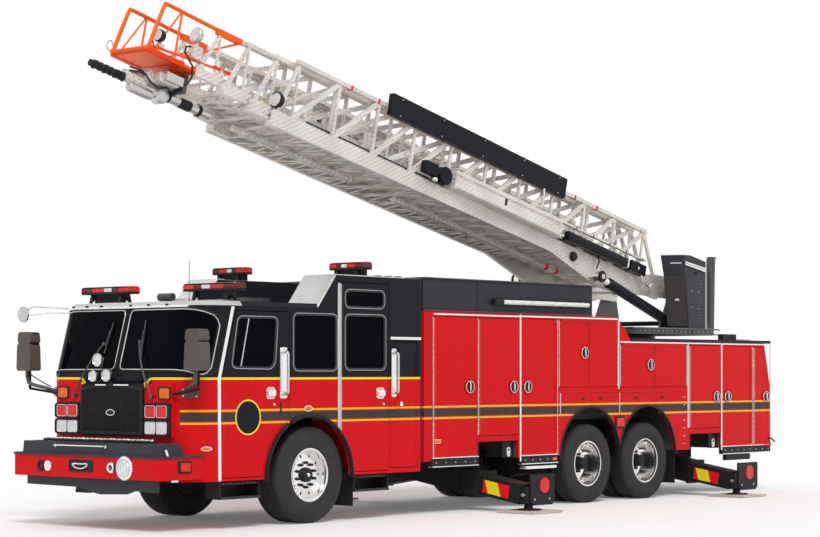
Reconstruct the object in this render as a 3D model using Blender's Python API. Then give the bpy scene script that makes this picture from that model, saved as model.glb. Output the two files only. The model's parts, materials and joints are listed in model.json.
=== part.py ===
"""Fire engine with a four-section aerial ladder.

Blender 4.5, metres, +Z up. The front faces -Y and the vehicle's left side faces +X. Heights are
measured from the ground, and lengths along Y from the front axle. The datum empty then shifts the
whole vehicle so that the origin lies under the middle of its outline.
"""

import math

import bmesh
import bpy
from mathutils import Matrix, Vector
from mathutils.geometry import tessellate_polygon

# Driving dimensions

HALF_WIDTH = 1.25
FRONT_Y = -2.40
REAR_Y = 9.897
DATUM_Y = (FRONT_Y + REAR_Y) / 2

TOUCH = 0.0003          # gap where two pieces seat on each other
PIN_GAP = 0.0005        # gap round a pin or on a slide pad
SEAM = 0.008            # gap round a door
WALL = 0.045            # side wall of the cab and of the body

FRONT_AXLE_Y = 0.0
REAR_AXLE_YS = (5.38, 6.71)
FRONT_TYRE_R = 0.56
REAR_TYRE_R = 0.525
RIM_R = 0.295
KINGPIN_X = 0.74

RAIL_INNER_X = 0.36
RAIL_OUTER_X = 0.43
RAIL_BOTTOM_Z = 0.84
RAIL_TOP_Z = 1.10
TUNNEL_TOP_Z = 1.27

CAB_FRONT_Y = -1.906
CAB_CORNER_Y = -1.50
CAB_REAR_Y = 1.884
CAB_BOTTOM_Z = 0.54
BELT_Z = 1.70
CAB_ROOF_Z = 2.54
CAB_FLAT_X = 0.95
SCREEN_RAKE = 0.22
RAISED_ROOF_Z = 2.88
RAISED_INNER_X = 0.73

BODY_FRONT_Y = 1.954
BODY_BOTTOM_Z = 0.652
BODY_HIGH_Z = 2.493
BODY_LOW_Z = 2.175
BED_WALL_TOP_Z = 2.91
BED_WALL_REAR_Y = 5.422
HIGH_REAR_Y = 5.99
INNER_WALL_X = 0.62

LADDER_PIVOT = (8.35, 2.95)
LADDER_TILT = math.radians(13.2)
RUNG_PITCH = 0.3556

TURNTABLE_Y = 7.60
PLATFORM_BOTTOM_Z = 2.28
PLATFORM_TOP_Z = 2.37

STATIONS = (("front", 3.403), ("rear", 8.142))
OUTRIGGER_PIVOT = (-0.62, 0.623)
OUTRIGGER_SLOPE = math.radians(9.1)

ARCH_FRONT = (-0.07, 0.53, 0.72)
ARCH_REAR_R = 0.67
ARCH_REAR_Z = 0.615

SIDES = (("left", 1), ("right", -1))


# Mesh helpers

def new_mesh(points, faces):
    """A mesh from points and faces, with its faces turned outwards."""
    mesh = bpy.data.meshes.new("shape")
    mesh.from_pydata([tuple(p) for p in points], [], faces)
    work = bmesh.new()
    work.from_mesh(mesh)
    bmesh.ops.recalc_face_normals(work, faces=work.faces)
    work.to_mesh(mesh)
    work.free()
    return mesh


def box(x, y, z):
    """A block between the two ends given for each axis."""
    points = [(a, b, c) for a in x for b in y for c in z]
    faces = [(0, 1, 3, 2), (4, 6, 7, 5), (0, 4, 5, 1), (2, 3, 7, 6), (0, 2, 6, 4), (1, 5, 7, 3)]
    return new_mesh(points, faces)


def prism(axis, ends, outline, holes=()):
    """A flat outline with holes, extruded along X, Y or Z between two ends."""
    loops = [outline, *holes]
    flat = [Vector((a, b, 0)) for loop in loops for a, b in loop]
    triangles = tessellate_polygon([[Vector((a, b, 0)) for a, b in loop] for loop in loops])

    def lift(a, b, height):
        if axis == "X":
            return (height, a, b)
        if axis == "Y":
            return (a, height, b)
        return (a, b, height)

    points = [lift(p.x, p.y, end) for end in ends for p in flat]
    count = len(flat)
    faces = [tuple(t) for t in triangles] + [tuple(i + count for i in reversed(t)) for t in triangles]
    start = 0
    for loop in loops:
        size = len(loop)
        for i in range(size):
            a, b = start + i, start + (i + 1) % size
            faces.append((a, b, b + count, a + count))
        start += size
    return new_mesh(points, faces)


def lathe(axis, centre, profile, segments):
    """A closed profile of (along, radius) points turned round an axis through centre."""
    points, rings = [], []
    for along, radius in profile:
        if radius < 1e-6:
            rings.append([len(points)] * segments)
            points.append((along, 0.0, 0.0))
            continue
        rings.append([len(points) + i for i in range(segments)])
        for i in range(segments):
            turn = math.tau * i / segments
            points.append((along, radius * math.sin(turn), -radius * math.cos(turn)))
    faces = []
    closed = profile[0][1] > 1e-6
    pairs = [(rings[i], rings[i + 1]) for i in range(len(rings) - 1)]
    if closed:
        pairs.append((rings[-1], rings[0]))
    for lower, upper in pairs:
        for i in range(segments):
            j = (i + 1) % segments
            corners = [lower[i], lower[j], upper[j], upper[i]]
            face = [c for k, c in enumerate(corners) if c != corners[k - 1]]
            if len(face) > 2:
                faces.append(tuple(face))
    mesh = new_mesh(points, faces)
    turn = {"X": Matrix(), "Y": Matrix.Rotation(math.pi / 2, 4, "Z"),
            "Z": Matrix.Rotation(-math.pi / 2, 4, "Y")}[axis]
    mesh.transform(Matrix.Translation(centre) @ turn)
    return mesh


def drum(axis, centre, radius, ends, segments=16):
    """A plain cylinder along an axis, between two distances from centre."""
    low, high = ends
    return lathe(axis, centre, [(low, 0), (low, radius), (high, radius), (high, 0)], segments)


def bore(axis, centre, radius, ends, segments=16, turned=False):
    """A cutter for a hole that a pin of this radius turns in, its flats clear of the pin.

    Where pin and hole have the same facets, a turned hole has a flat opposite each of the pin's edges.
    """
    mesh = drum(axis, (0, 0, 0), (radius + PIN_GAP) / math.cos(math.pi / segments), ends, segments)
    if turned:
        mesh.transform(Matrix.Rotation(math.pi / segments, 4, axis))
    mesh.transform(Matrix.Translation(centre))
    return mesh


def rod(start, end, radius, segments=8):
    """A plain cylinder from one point to another."""
    start, end = Vector(start), Vector(end)
    span = end - start
    mesh = drum("Z", (0, 0, 0), radius, (0, span.length), segments)
    mesh.transform(Matrix.Translation(start) @ span.to_track_quat("Z", "Y").to_matrix().to_4x4())
    return mesh


def bar(start, end, width, height):
    """A rectangular bar from one point to another, its width level."""
    start, end = Vector(start), Vector(end)
    span = end - start
    mesh = box((-width / 2, width / 2), (-height / 2, height / 2), (0, span.length))
    mesh.transform(Matrix.Translation(start) @ span.to_track_quat("Z", "Y").to_matrix().to_4x4())
    return mesh


def mirrored(mesh):
    """A copy of a mesh on the other side of the centre plane."""
    copy = mesh.copy()
    copy.transform(Matrix.Diagonal((-1, 1, 1, 1)))
    copy.flip_normals()
    return copy


def both_sides(*meshes):
    """Each mesh with its mirrored copy."""
    return [m for mesh in meshes for m in (mesh, mirrored(mesh))]


def on_side(mesh, side):
    """The mesh itself on the left side, its mirrored copy on the right."""
    return mesh if side > 0 else mirrored(mesh)


def combine(parts, cuts=()):
    """One closed body: the parts united, then the cuts taken away."""
    base = bpy.data.objects.new("base", parts[0])
    bpy.context.scene.collection.objects.link(base)
    groups = []
    for operation, meshes in (("UNION", parts[1:]), ("DIFFERENCE", cuts)):
        if not meshes:
            continue
        group = bpy.data.collections.new(operation)
        bpy.context.scene.collection.children.link(group)
        for mesh in meshes:
            group.objects.link(bpy.data.objects.new("operand", mesh))
        modifier = base.modifiers.new(operation, "BOOLEAN")
        modifier.operation = operation
        modifier.operand_type = "COLLECTION"
        modifier.collection = group
        modifier.solver = "EXACT"
        groups.append(group)
    mesh = bpy.data.meshes.new_from_object(base.evaluated_get(bpy.context.evaluated_depsgraph_get()))
    bpy.data.objects.remove(base)
    for group in groups:
        for operand in list(group.objects):
            bpy.data.objects.remove(operand)
        bpy.data.collections.remove(group)
    work = bmesh.new()
    work.from_mesh(mesh)
    bmesh.ops.remove_doubles(work, verts=work.verts, dist=1e-5)
    bmesh.ops.dissolve_degenerate(work, edges=work.edges, dist=1e-5)
    bmesh.ops.dissolve_limit(work, angle_limit=math.radians(0.2), verts=work.verts, edges=work.edges)
    work.to_mesh(mesh)
    work.free()
    return mesh


# Materials: name, colour, roughness, metallic

PAINTS = {
    "red paint": ((0.65, 0.012, 0.02), 0.25, 0.0),
    "black paint": ((0.02, 0.02, 0.022), 0.35, 0.0),
    "frame black": ((0.015, 0.015, 0.016), 0.55, 0.0),
    "white ladder": ((0.75, 0.73, 0.70), 0.45, 0.2),
    "grey paint": ((0.05, 0.05, 0.055), 0.5, 0.0),
    "bright metal": ((0.75, 0.75, 0.76), 0.3, 1.0),
    "tyre rubber": ((0.02, 0.02, 0.02), 0.8, 0.0),
    "dark glass": ((0.01, 0.01, 0.01), 0.05, 0.0),
}


def paint(name):
    """The Principled material of one paint, made on first use."""
    if name in bpy.data.materials:
        return bpy.data.materials[name]
    colour, roughness, metallic = PAINTS[name]
    material = bpy.data.materials.new(name)
    material.use_nodes = True
    shader = material.node_tree.nodes["Principled BSDF"]
    shader.inputs["Base Color"].default_value = (*colour, 1)
    shader.inputs["Roughness"].default_value = roughness
    shader.inputs["Metallic"].default_value = metallic
    return material


def make(name, mesh, material, pivot=(0, 0, 0), tilt=0.0, local=False):
    """One named sub-part with its origin on its joint's axis.

    A local mesh is already measured from its pivot; tilt then leans it back round the X axis.
    """
    if not local:
        mesh = mesh.copy()
        mesh.transform(Matrix.Translation(-Vector(pivot)))
    mesh.name = name
    mesh.materials.clear()
    mesh.materials.append(paint(material))
    mesh.shade_smooth()
    mesh.set_sharp_from_angle(angle=math.radians(32))
    part = bpy.data.objects.new(name, mesh)
    bpy.context.scene.collection.objects.link(part)
    part.location = pivot
    part.rotation_euler = (-tilt, 0, 0)
    part.parent = bpy.data.objects["datum"]
    return part


def arc(centre, radius, start, end, steps):
    """Points along an arc, angles in degrees."""
    angles = [math.radians(start + (end - start) * i / steps) for i in range(steps + 1)]
    return [(centre[0] + radius * math.cos(a), centre[1] + radius * math.sin(a)) for a in angles]


# Chassis

RAIL_Y = (-1.75, 9.60)
HORN_BOTTOM_Z = 0.62
HORN_LINK = ((-1.75, -1.45), (0.70, 0.89))
CROSS_MEMBER_YS = (-1.4, 2.3, 4.6, 6.045, 7.45, 9.45)
CROSS_MEMBER_HALF_Y = 0.04
CROSS_MEMBER_Z = (0.87, 1.06)
MOUNT_HALF_Y = 0.06
CAB_MOUNT_YS = (-1.30, 1.60)
ENGINE_Y = (-1.15, 0.55)
AXLE_BEAM_DROP = 0.04   # from the wheel's centre down to the top of the beam's middle
ENGINE_OVER_AXLE = 0.08
ENGINE_Z = (FRONT_TYRE_R - AXLE_BEAM_DROP + ENGINE_OVER_AXLE, 1.24)
SLING_THICK = 0.05
SLING_YS = (-0.95, 0.35)
SLING_TOP_Z = 0.96
ENGINE_HALF_WIDTH = 0.30
SADDLE_HALF_X = 0.75
SADDLE_BOTTOM_Z = 0.50
SADDLE_PLATE = 0.02
SADDLE_EDGE_Z = 0.72
SADDLE_TOP_Z = 0.98
SLOT_WIDTH = 0.355      # from the middle saddle plate to an outer one
OUTRIGGER_PIN_R = 0.035
PIN_SEGMENTS = 12
SPRING_EYE_Y = 0.72
SPRING_EYE_Z = (0.72, 0.78)
TRUNNION_Y = sum(REAR_AXLE_YS) / 2
TRUNNION_Z = 0.70
TRUNNION_HALF_Y = 0.12


def sling(y):
    """A cross plate that carries the engine between the rails."""
    outer, inner = RAIL_INNER_X + 0.02, ENGINE_HALF_WIDTH + 0.02
    bottom, seat = ENGINE_Z[0] - SLING_THICK, ENGINE_Z[0] - TOUCH
    half = [(outer, SLING_TOP_Z), (inner, SLING_TOP_Z), (inner, seat)]
    return prism("Y", (y - MOUNT_HALF_Y, y + MOUNT_HALF_Y), [
        (-outer, bottom), (outer, bottom), *half, *[(-x, z) for x, z in reversed(half)]])


def saddle(y):
    """A plate across both rails, beside an outrigger housing."""
    half = [(SADDLE_HALF_X, SADDLE_BOTTOM_Z), (SADDLE_HALF_X, SADDLE_EDGE_Z), (RAIL_OUTER_X, SADDLE_TOP_Z)]
    return prism("Y", (y - SADDLE_PLATE / 2, y + SADDLE_PLATE / 2), half + [(-x, z) for x, z in reversed(half)])


def chassis_frame():
    rail_x = (RAIL_INNER_X, RAIL_OUTER_X)
    rail = box(rail_x, RAIL_Y, (RAIL_BOTTOM_Z, RAIL_TOP_Z))
    horn = box(rail_x, (FRONT_Y + BUMPER_WALL + TOUCH, HORN_LINK[0][1]),
               (HORN_BOTTOM_Z, BUMPER_Z[1] - BUMPER_WALL - TOUCH))
    parts = both_sides(rail, horn, box(rail_x, *HORN_LINK))
    across = (-RAIL_INNER_X - 0.02, RAIL_INNER_X + 0.02)
    for y in CROSS_MEMBER_YS:
        parts.append(box(across, (y - CROSS_MEMBER_HALF_Y, y + CROSS_MEMBER_HALF_Y), CROSS_MEMBER_Z))
    for y in CAB_MOUNT_YS:
        parts += both_sides(box(rail_x, (y - MOUNT_HALF_Y, y + MOUNT_HALF_Y),
                                (RAIL_TOP_Z - 0.02, TUNNEL_TOP_Z - TOUCH)))
    parts += [sling(y) for y in SLING_YS]
    for y in (-SPRING_EYE_Y, SPRING_EYE_Y):
        parts += both_sides(box(rail_x, (y - MOUNT_HALF_Y, y + MOUNT_HALF_Y),
                                (SPRING_EYE_Z[1], RAIL_BOTTOM_Z + 0.02)))
    parts += both_sides(box(rail_x, (TRUNNION_Y - TRUNNION_HALF_Y, TRUNNION_Y + TRUNNION_HALF_Y),
                            (TRUNNION_Z, RAIL_BOTTOM_Z + 0.02)))
    for _, middle in STATIONS:
        parts += [saddle(middle + offset) for offset in (-SLOT_WIDTH - 0.01, 0, SLOT_WIDTH + 0.01)]
        for side in (1, -1):
            ends = (-SLOT_WIDTH - 0.02, 0) if side > 0 else (0, SLOT_WIDTH + 0.02)
            pin_centre = (side * OUTRIGGER_PIVOT[0], middle, OUTRIGGER_PIVOT[1])
            parts.append(drum("Y", pin_centre, OUTRIGGER_PIN_R, ends, PIN_SEGMENTS))
    make("chassis_frame", combine(parts), "frame black")


def engine_block():
    x = (-ENGINE_HALF_WIDTH, ENGINE_HALF_WIDTH)
    make("engine_block", box(x, ENGINE_Y, ENGINE_Z), "grey paint")


# Axles and wheels

SPRING_X = (0.385, 0.430)
KINGPIN_R = 0.022
SPINDLE_R = 0.05
HUB_FACE_X = 0.93
FRONT_TYRE_X = (0.80, 1.22)
TWIN_TYRES_X = ((0.59, 0.88), (0.93, 1.22))
WHEEL_SEGMENTS = 20
HUB_BORE_R = (SPINDLE_R + PIN_GAP) / math.cos(math.pi / WHEEL_SEGMENTS)
FORK_X = 0.065          # from the kingpin to the fork's cheek
FORK_THROAT = 0.062     # half the height between the fork's arms
FRONT_BRAKE_R = 0.20
REAR_BRAKE_R = 0.19
REAR_HUB_X = 0.87
AXLE_TUBE_R = 0.085
DIFFERENTIAL_R = 0.20
EQUALISER_Z = (0.46, 0.58)      # the beam that joins the two rear axles


def front_axle():
    z = FRONT_TYRE_R
    half = [(0.57, z - 0.16), (KINGPIN_X - 0.085, z - 0.06), (KINGPIN_X + 0.035, z - 0.06),
            (KINGPIN_X + 0.035, z + 0.06), (KINGPIN_X - 0.085, z + 0.06), (0.57, z - AXLE_BEAM_DROP)]
    beam = prism("Y", (-0.045, 0.045), half + [(-x, height) for x, height in reversed(half)])
    eye_low, eye_high = SPRING_EYE_Z[0], SPRING_EYE_Z[1] - TOUCH
    lower = [(-SPRING_EYE_Y - 0.05, eye_low), (-0.2, z - 0.05), (0.2, z - 0.05), (SPRING_EYE_Y + 0.05, eye_low)]
    upper = [(SPRING_EYE_Y + 0.05, eye_high), (SPRING_EYE_Y - 0.05, eye_high), (0.2, z + 0.04),
             (-0.2, z + 0.04), (-SPRING_EYE_Y + 0.05, eye_high), (-SPRING_EYE_Y - 0.05, eye_high)]
    springs = both_sides(prism("X", SPRING_X, lower + upper))
    bores = both_sides(bore("Z", (KINGPIN_X, 0, z), KINGPIN_R, (-0.2, 0.2)))
    make("front_axle", combine([beam, *springs], bores), "frame black")


def knuckle(label, side):
    """The fork round the axle end, its kingpin, and the spindle that carries the wheel."""
    z = FRONT_TYRE_R
    x = KINGPIN_X
    fork = prism("Y", (-0.045, 0.045), [
        (x - 0.045, z - 0.12), (x + 0.10, z - 0.12), (x + 0.10, z + 0.12), (x - 0.045, z + 0.12),
        (x - 0.045, z + FORK_THROAT), (x + FORK_X, z + FORK_THROAT), (x + FORK_X, z - FORK_THROAT),
        (x - 0.045, z - FORK_THROAT)])
    pin = drum("Z", (x, 0, z), KINGPIN_R, (-0.115, 0.115), 12)
    brake = drum("X", (0, 0, z), FRONT_BRAKE_R, (x + 0.09, HUB_FACE_X - PIN_GAP), 12)
    spindle = drum("X", (0, 0, z), SPINDLE_R, (x + 0.08, 1.06), 12)
    mesh = combine([fork, pin, brake, spindle])
    make(f"knuckle_{label}", on_side(mesh, side), "frame black", (side * x, 0, z))


def tyre_outline(low, high, radius):
    """A tyre's outline from one bead over the tread to the other."""
    return [(low + 0.03, RIM_R), (low, RIM_R + 0.11), (low + 0.04, radius), (high - 0.04, radius),
            (high, RIM_R + 0.11), (high - 0.03, RIM_R)]


def front_wheel(label, side):
    low, high = FRONT_TYRE_X
    dish = [(high - 0.045, RIM_R - 0.02), (1.06, RIM_R - 0.045), (1.02, 0.17), (1.13, 0.13), (1.15, 0),
            (1.065, 0), (1.065, HUB_BORE_R), (HUB_FACE_X, HUB_BORE_R), (HUB_FACE_X, 0.205),
            (0.99, 0.235), (low + 0.045, RIM_R - 0.025)]
    profile = tyre_outline(low, high, FRONT_TYRE_R) + dish
    mesh = lathe("X", (0, 0, FRONT_TYRE_R), split_at_axis(profile), WHEEL_SEGMENTS)
    make(f"front_wheel_{label}", on_side(mesh, side), "tyre rubber", (side * KINGPIN_X, 0, FRONT_TYRE_R))


def split_at_axis(profile):
    """Turn a closed profile so that it starts and ends with its two points on the axis."""
    first = [i for i, p in enumerate(profile) if p[1] == 0][1]
    return profile[first:] + profile[:first]


def twin_wheel(label, index, side):
    inner, outer = TWIN_TYRES_X
    y = REAR_AXLE_YS[index]
    dish = [(outer[1] - 0.045, RIM_R - 0.02), (0.955, RIM_R - 0.04), (0.925, 0.17), (1.09, 0.13), (1.11, 0),
            (1.005, 0), (1.005, HUB_BORE_R), (REAR_HUB_X, HUB_BORE_R), (REAR_HUB_X, 0.20),
            (0.895, 0.255), (inner[0] + 0.045, RIM_R - 0.025)]
    profile = tyre_outline(*inner, REAR_TYRE_R) + tyre_outline(*outer, REAR_TYRE_R) + dish
    mesh = lathe("X", (0, y, REAR_TYRE_R), split_at_axis(profile), WHEEL_SEGMENTS)
    make(f"rear_wheel_{label}_{index + 1}", on_side(mesh, side), "tyre rubber", (side * 0.905, y, REAR_TYRE_R))


def rear_axles():
    parts = []
    for y in REAR_AXLE_YS:
        centre = (0, y, REAR_TYRE_R)
        parts.append(drum("X", centre, AXLE_TUBE_R, (-0.62, 0.62), 8))
        parts.append(drum("Y", centre, DIFFERENTIAL_R, (-0.16, 0.16), 10))
        parts += both_sides(drum("X", centre, REAR_BRAKE_R, (0.60, REAR_HUB_X - PIN_GAP), 10),
                            drum("X", centre, SPINDLE_R, (0.80, 1.0), 10))
    first, last = REAR_AXLE_YS
    (low, high), overhang = EQUALISER_Z, 0.10
    spring = [(first - overhang, low), (last + overhang, low), (last + overhang, high),
              (TRUNNION_Y + TRUNNION_HALF_Y, TRUNNION_Z - TOUCH),
              (TRUNNION_Y - TRUNNION_HALF_Y, TRUNNION_Z - TOUCH), (first - overhang, high)]
    parts += both_sides(prism("X", SPRING_X, spring))
    make("rear_axles", combine(parts), "frame black")


# Bumper and cab front

BUMPER_Z = (0.56, 0.82)
BUMPER_REAR_Y = -1.72
BUMPER_WALL = 0.04
POCKET_HALF_X = 0.50            # room behind the bumper's middle for the frame's horns
POCKET_REAR_Y = -1.80
CAVITY_REAR_Y = -1.95
DECK_Z = 0.97
HOSE_WELL = ((-0.95, 0.95), (-2.30, -2.04))
HOSE_WELL_DEPTH = 0.05


def cab_plan(inset=0.0, rake=0.0, rear=CAB_REAR_Y):
    """Outline of the cab seen from above: flat front, rounded corners, straight sides and rear."""
    front = CAB_FRONT_Y + rake + inset
    corner = CAB_CORNER_Y + rake
    half = HALF_WIDTH - inset
    flat = CAB_FLAT_X - inset / 2
    right = []
    for i in range(5):
        turn = math.radians(90 * i / 4)
        right.append((flat + (half - flat) * math.sin(turn), corner - (corner - front) * math.cos(turn)))
    return [(-x, y) for x, y in reversed(right)] + right + [(half, rear - inset), (-half, rear - inset)]


def bumper():
    half = HALF_WIDTH - 0.01
    outer = [(-half, FRONT_Y), (half, FRONT_Y), (half, BUMPER_REAR_Y), (-half, BUMPER_REAR_Y)]
    channel = prism("Z", BUMPER_Z, outer)
    deck = prism("Z", (BUMPER_Z[1] - 0.02, DECK_Z), [
        (-1.17, -2.35), (-1.12, -2.38), (1.12, -2.38), (1.17, -2.35), (1.17, -2.02), (1.10, -1.96),
        (-1.10, -1.96), (-1.17, -2.02)])
    hollow_z = (BUMPER_Z[0] - 0.1, BUMPER_Z[1] - BUMPER_WALL)
    cavity = box((-half + BUMPER_WALL, half - BUMPER_WALL), (FRONT_Y + BUMPER_WALL, CAVITY_REAR_Y), hollow_z)
    pocket = box((-POCKET_HALF_X, POCKET_HALF_X), (FRONT_Y + BUMPER_WALL, POCKET_REAR_Y), hollow_z)
    well = box(*HOSE_WELL, (DECK_Z - HOSE_WELL_DEPTH, DECK_Z + 0.1))
    plan = [(x * (HALF_WIDTH + 0.01) / HALF_WIDTH, y - 0.01) for x, y in cab_plan()]
    clearance = prism("Z", (BUMPER_Z[0] - 0.1, DECK_Z + 0.1), plan)
    make("bumper", combine([channel, deck], [cavity, pocket, well, clearance]), "red paint")


GRILLE_HALF = 0.52
GRILLE_Z = (1.04, 1.61)
LAMP_X = (0.555, 0.955)
LAMP_ROWS_Z = ((1.045, 1.215), (1.235, 1.405))
AMBER = ((0.77, 0.95), (1.46, 1.58))
MIRROR_X = (1.31, 1.52)
MIRROR_Z = (1.77, 2.20)
GRILLE_BARS = 9
GRILLE_RIM = 0.05
PANEL_HALF = 0.965
PANEL_Z = (1.03, 1.62)
LAMP_R = 0.07
LAMP_INSET = 0.105
MIRROR_ARM_R = 0.016
MIRROR_ARM_FOOT = (0.93, 1.50)
MIRROR_ARM_KNEE = (1.42, 1.56)


def cab_front():
    """Front panel that carries the grille, the lamp clusters and the two mirrors."""
    back = CAB_FRONT_Y - TOUCH
    panel = box((-PANEL_HALF, PANEL_HALF), (back - 0.04, back), PANEL_Z)
    half, (low, high), rim = GRILLE_HALF, GRILLE_Z, GRILLE_RIM
    frame = prism("Y", (back - 0.06, back - 0.01), [(-half, low), (half, low), (half, high), (-half, high)], [[
        (-half + rim, low + rim), (half - rim, low + rim), (half - rim, high - rim), (-half + rim, high - rim)]])
    parts = [panel, frame]
    span = 2 * (half - rim)
    for i in range(GRILLE_BARS):
        x = -half + rim + span * (i + 0.5) / GRILLE_BARS
        parts.append(box((x - 0.02, x + 0.02), (back - 0.05, back - 0.01),
                         (low + rim - 0.01, high - rim + 0.01)))
    lamps = []
    for z in LAMP_ROWS_Z:
        lamps.append(box(LAMP_X, (back - 0.055, back - 0.01), z))
        middle_z = sum(z) / 2
        for x in (LAMP_X[0] + LAMP_INSET, LAMP_X[1] - LAMP_INSET):
            lamps.append(drum("Y", (x, back, middle_z), LAMP_R, (-0.068, -0.05), 8))
    lamps.append(box(AMBER[0], (back - 0.045, back - 0.01), AMBER[1]))
    (foot_x, foot_z), (knee_x, knee_z) = MIRROR_ARM_FOOT, MIRROR_ARM_KNEE
    knee = (knee_x, back - 0.07, knee_z)
    lamps.append(rod((foot_x, back - 0.022, foot_z), knee, MIRROR_ARM_R, 6))
    lamps.append(rod(knee, (knee_x, back - 0.07, MIRROR_Z[0] + 0.02), MIRROR_ARM_R, 6))
    lamps.append(box(MIRROR_X, (back - 0.12, back - 0.02), MIRROR_Z))
    parts += both_sides(*lamps)
    make("cab_front", combine(parts), "bright metal")


# Cab shell

SIDE_X = HALF_WIDTH
CAB_WALL = 0.05
HINGE_R = 0.007
HINGE_X = HALF_WIDTH + HINGE_R + PIN_GAP
ARCH_FRONT_STEPS = 12
SCREEN_Z = (1.77, 2.44)
PANE = ((1.10, 0.0), (1.19, 0.08), (1.15, -0.06), (1.08, 0.0))     # outer corners: X, and Z from bottom or top
PANE_INNER_X = 0.07
CAB_FLOOR_Z = 1.33
TUNNEL_HALF_X = 0.46
WELL_HALF_Y = 0.80
CREW_WALL_Y = 1.36              # rear end of the crew's room
FOOTWELL_BOTTOM_Z = 0.66
FOOTWELL_Y = (-1.62, 1.25)
CAB_BOX_SPACE = ((0.68, HALF_WIDTH - CAB_WALL), (1.385, 1.834), (0.64, 2.12))
RAISED_SPACE_Y = (0.45, 1.30)
NOSE_GAP_TOP_Z = 0.81           # room in the cab's front wall for the frame's horns
FRONT_LIGHT_BAR = ((0.46, 1.29), -1.22, (2.66, 2.745))
REAR_LIGHT_BAR = ((0.74, 1.27), 0.90, (2.965, 3.05))
FRONT_DOOR_Y = (-1.455, -0.40)
FRONT_DOOR_TOP = (-1.245, 2.435)        # where the slanted front edge ends
CREW_DOOR_Y = (0.475, 1.305)
CREW_DOOR_TOP_Z = 2.80
DOOR_BOTTOM_Z = 0.575


def front_arch(radius, start, end, steps=ARCH_FRONT_STEPS):
    return arc(ARCH_FRONT[:2], radius, start, end, steps)


def arch_angle_at_y(y, radius):
    """Angle in degrees where the front arch of this radius passes a given Y."""
    return math.degrees(math.acos((y - ARCH_FRONT[0]) / radius))


def arch_angle_at_z(z, radius, rearward):
    turn = math.degrees(math.asin((z - ARCH_FRONT[1]) / radius))
    return turn if rearward else 180 - turn


DOOR_ARCH_R = ARCH_FRONT[2] + 0.035


def front_door_outline(grow=0.0):
    """Front door: slanted front edge above the belt, lower rear corner cut by the wheel arch."""
    radius = DOOR_ARCH_R - grow
    front, rear = FRONT_DOOR_Y[0] - grow, FRONT_DOOR_Y[1] + grow
    bottom = DOOR_BOTTOM_Z - grow
    top_y, top = FRONT_DOOR_TOP[0] - grow, FRONT_DOOR_TOP[1] + grow
    start = arch_angle_at_z(bottom, radius, False)
    end = arch_angle_at_y(rear, radius)
    return [(front, bottom), *arc(ARCH_FRONT[:2], radius, start, end, 7), (rear, top), (top_y, top),
            (front, BELT_Z)]


def crew_door_outline(grow=0.0):
    """Crew door: tall door in the raised roof, lower front corner cut by the wheel arch."""
    radius = DOOR_ARCH_R - grow
    front, rear = CREW_DOOR_Y[0] - grow, CREW_DOOR_Y[1] + grow
    bottom, top = DOOR_BOTTOM_Z - grow, CREW_DOOR_TOP_Z + grow
    start = arch_angle_at_y(front, radius)
    end = arch_angle_at_z(bottom, radius, True)
    return [*arc(ARCH_FRONT[:2], radius, start, end, 5), (rear, bottom), (rear, top), (front, top)]


def rounded(y, z, radius=0.06, steps=2):
    """A rectangle with rounded corners."""
    (y0, y1), (z0, z1) = y, z
    return (arc((y1 - radius, z1 - radius), radius, 0, 90, steps)
            + arc((y0 + radius, z1 - radius), radius, 90, 180, steps)
            + arc((y0 + radius, z0 + radius), radius, 180, 270, steps)
            + arc((y1 - radius, z0 + radius), radius, 270, 360, steps))


FRONT_DOOR_WINDOW = [(-1.310, 1.805), (-0.700, 1.795), (-0.640, 1.86), (-0.600, 2.36), (-1.175, 2.36),
                     (-1.215, 2.33)]
FIXED_WINDOW = ((-0.325, 0.385), (1.775, 2.41))
CREW_WINDOW = ((0.545, 1.235), (1.785, 2.415))
UPPER_WINDOW = ((0.545, 1.215), (2.515, 2.705))
CAB_BOX_DOOR = ((1.345, 1.835), (0.60, 2.11))
RAISED_FRONT = ((0.10, CAB_ROOF_Z - 0.05), (0.40, RAISED_ROOF_Z))


def loft(levels):
    """A closed body through plan outlines, each given as (height, outline)."""
    points = [(x, y, z) for z, outline in levels for x, y in outline]
    size = len(levels[0][1])
    faces = [tuple(range(size)), tuple(reversed(range(size * (len(levels) - 1), size * len(levels))))]
    for level in range(len(levels) - 1):
        for i in range(size):
            a, b = level * size + i, level * size + (i + 1) % size
            faces.append((a, b, b + size, a + size))
    return new_mesh(points, faces)


def cab_levels(inset, low, high):
    """The cab's outline at its bottom, at the belt, at the top of the screen and at the roof."""
    share = (high - BELT_Z) / (CAB_ROOF_Z - BELT_Z)
    levels = [(low, cab_plan(inset)), (BELT_Z, cab_plan(inset)),
              (high - 0.05, cab_plan(inset, SCREEN_RAKE * share)),
              (high, cab_plan(inset + 0.035, SCREEN_RAKE * share + 0.02))]
    return levels


def raised_roof(inset=0.0):
    """One side of the raised rear roof, with its slanted front."""
    (y0, z0), (y1, z1) = RAISED_FRONT
    rear = CAB_REAR_Y - inset
    top = z1 - inset
    outline = [(y0 + inset * 1.2, z0), (rear, z0), (rear, top), (y1 + inset, top)]
    return prism("X", (RAISED_INNER_X + inset, HALF_WIDTH - inset), outline)


def light_bar(x, y, z):
    """A roof light bar on two short feet."""
    (x0, x1), (z0, z1) = x, z
    lens = prism("Y", (y - 0.085, y + 0.085), [
        (x0, z0 + 0.015), (x0 + 0.03, z0), (x1 - 0.03, z0), (x1, z0 + 0.015), (x1, z1 - 0.015),
        (x1 - 0.03, z1), (x0 + 0.03, z1), (x0, z1 - 0.015)])
    middle = (x0 + x1) / 2
    foot = box((middle - 0.22, middle + 0.22), (y - 0.05, y + 0.05), (z0 - 0.12, z0 + 0.01))
    return [lens, foot]


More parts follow.
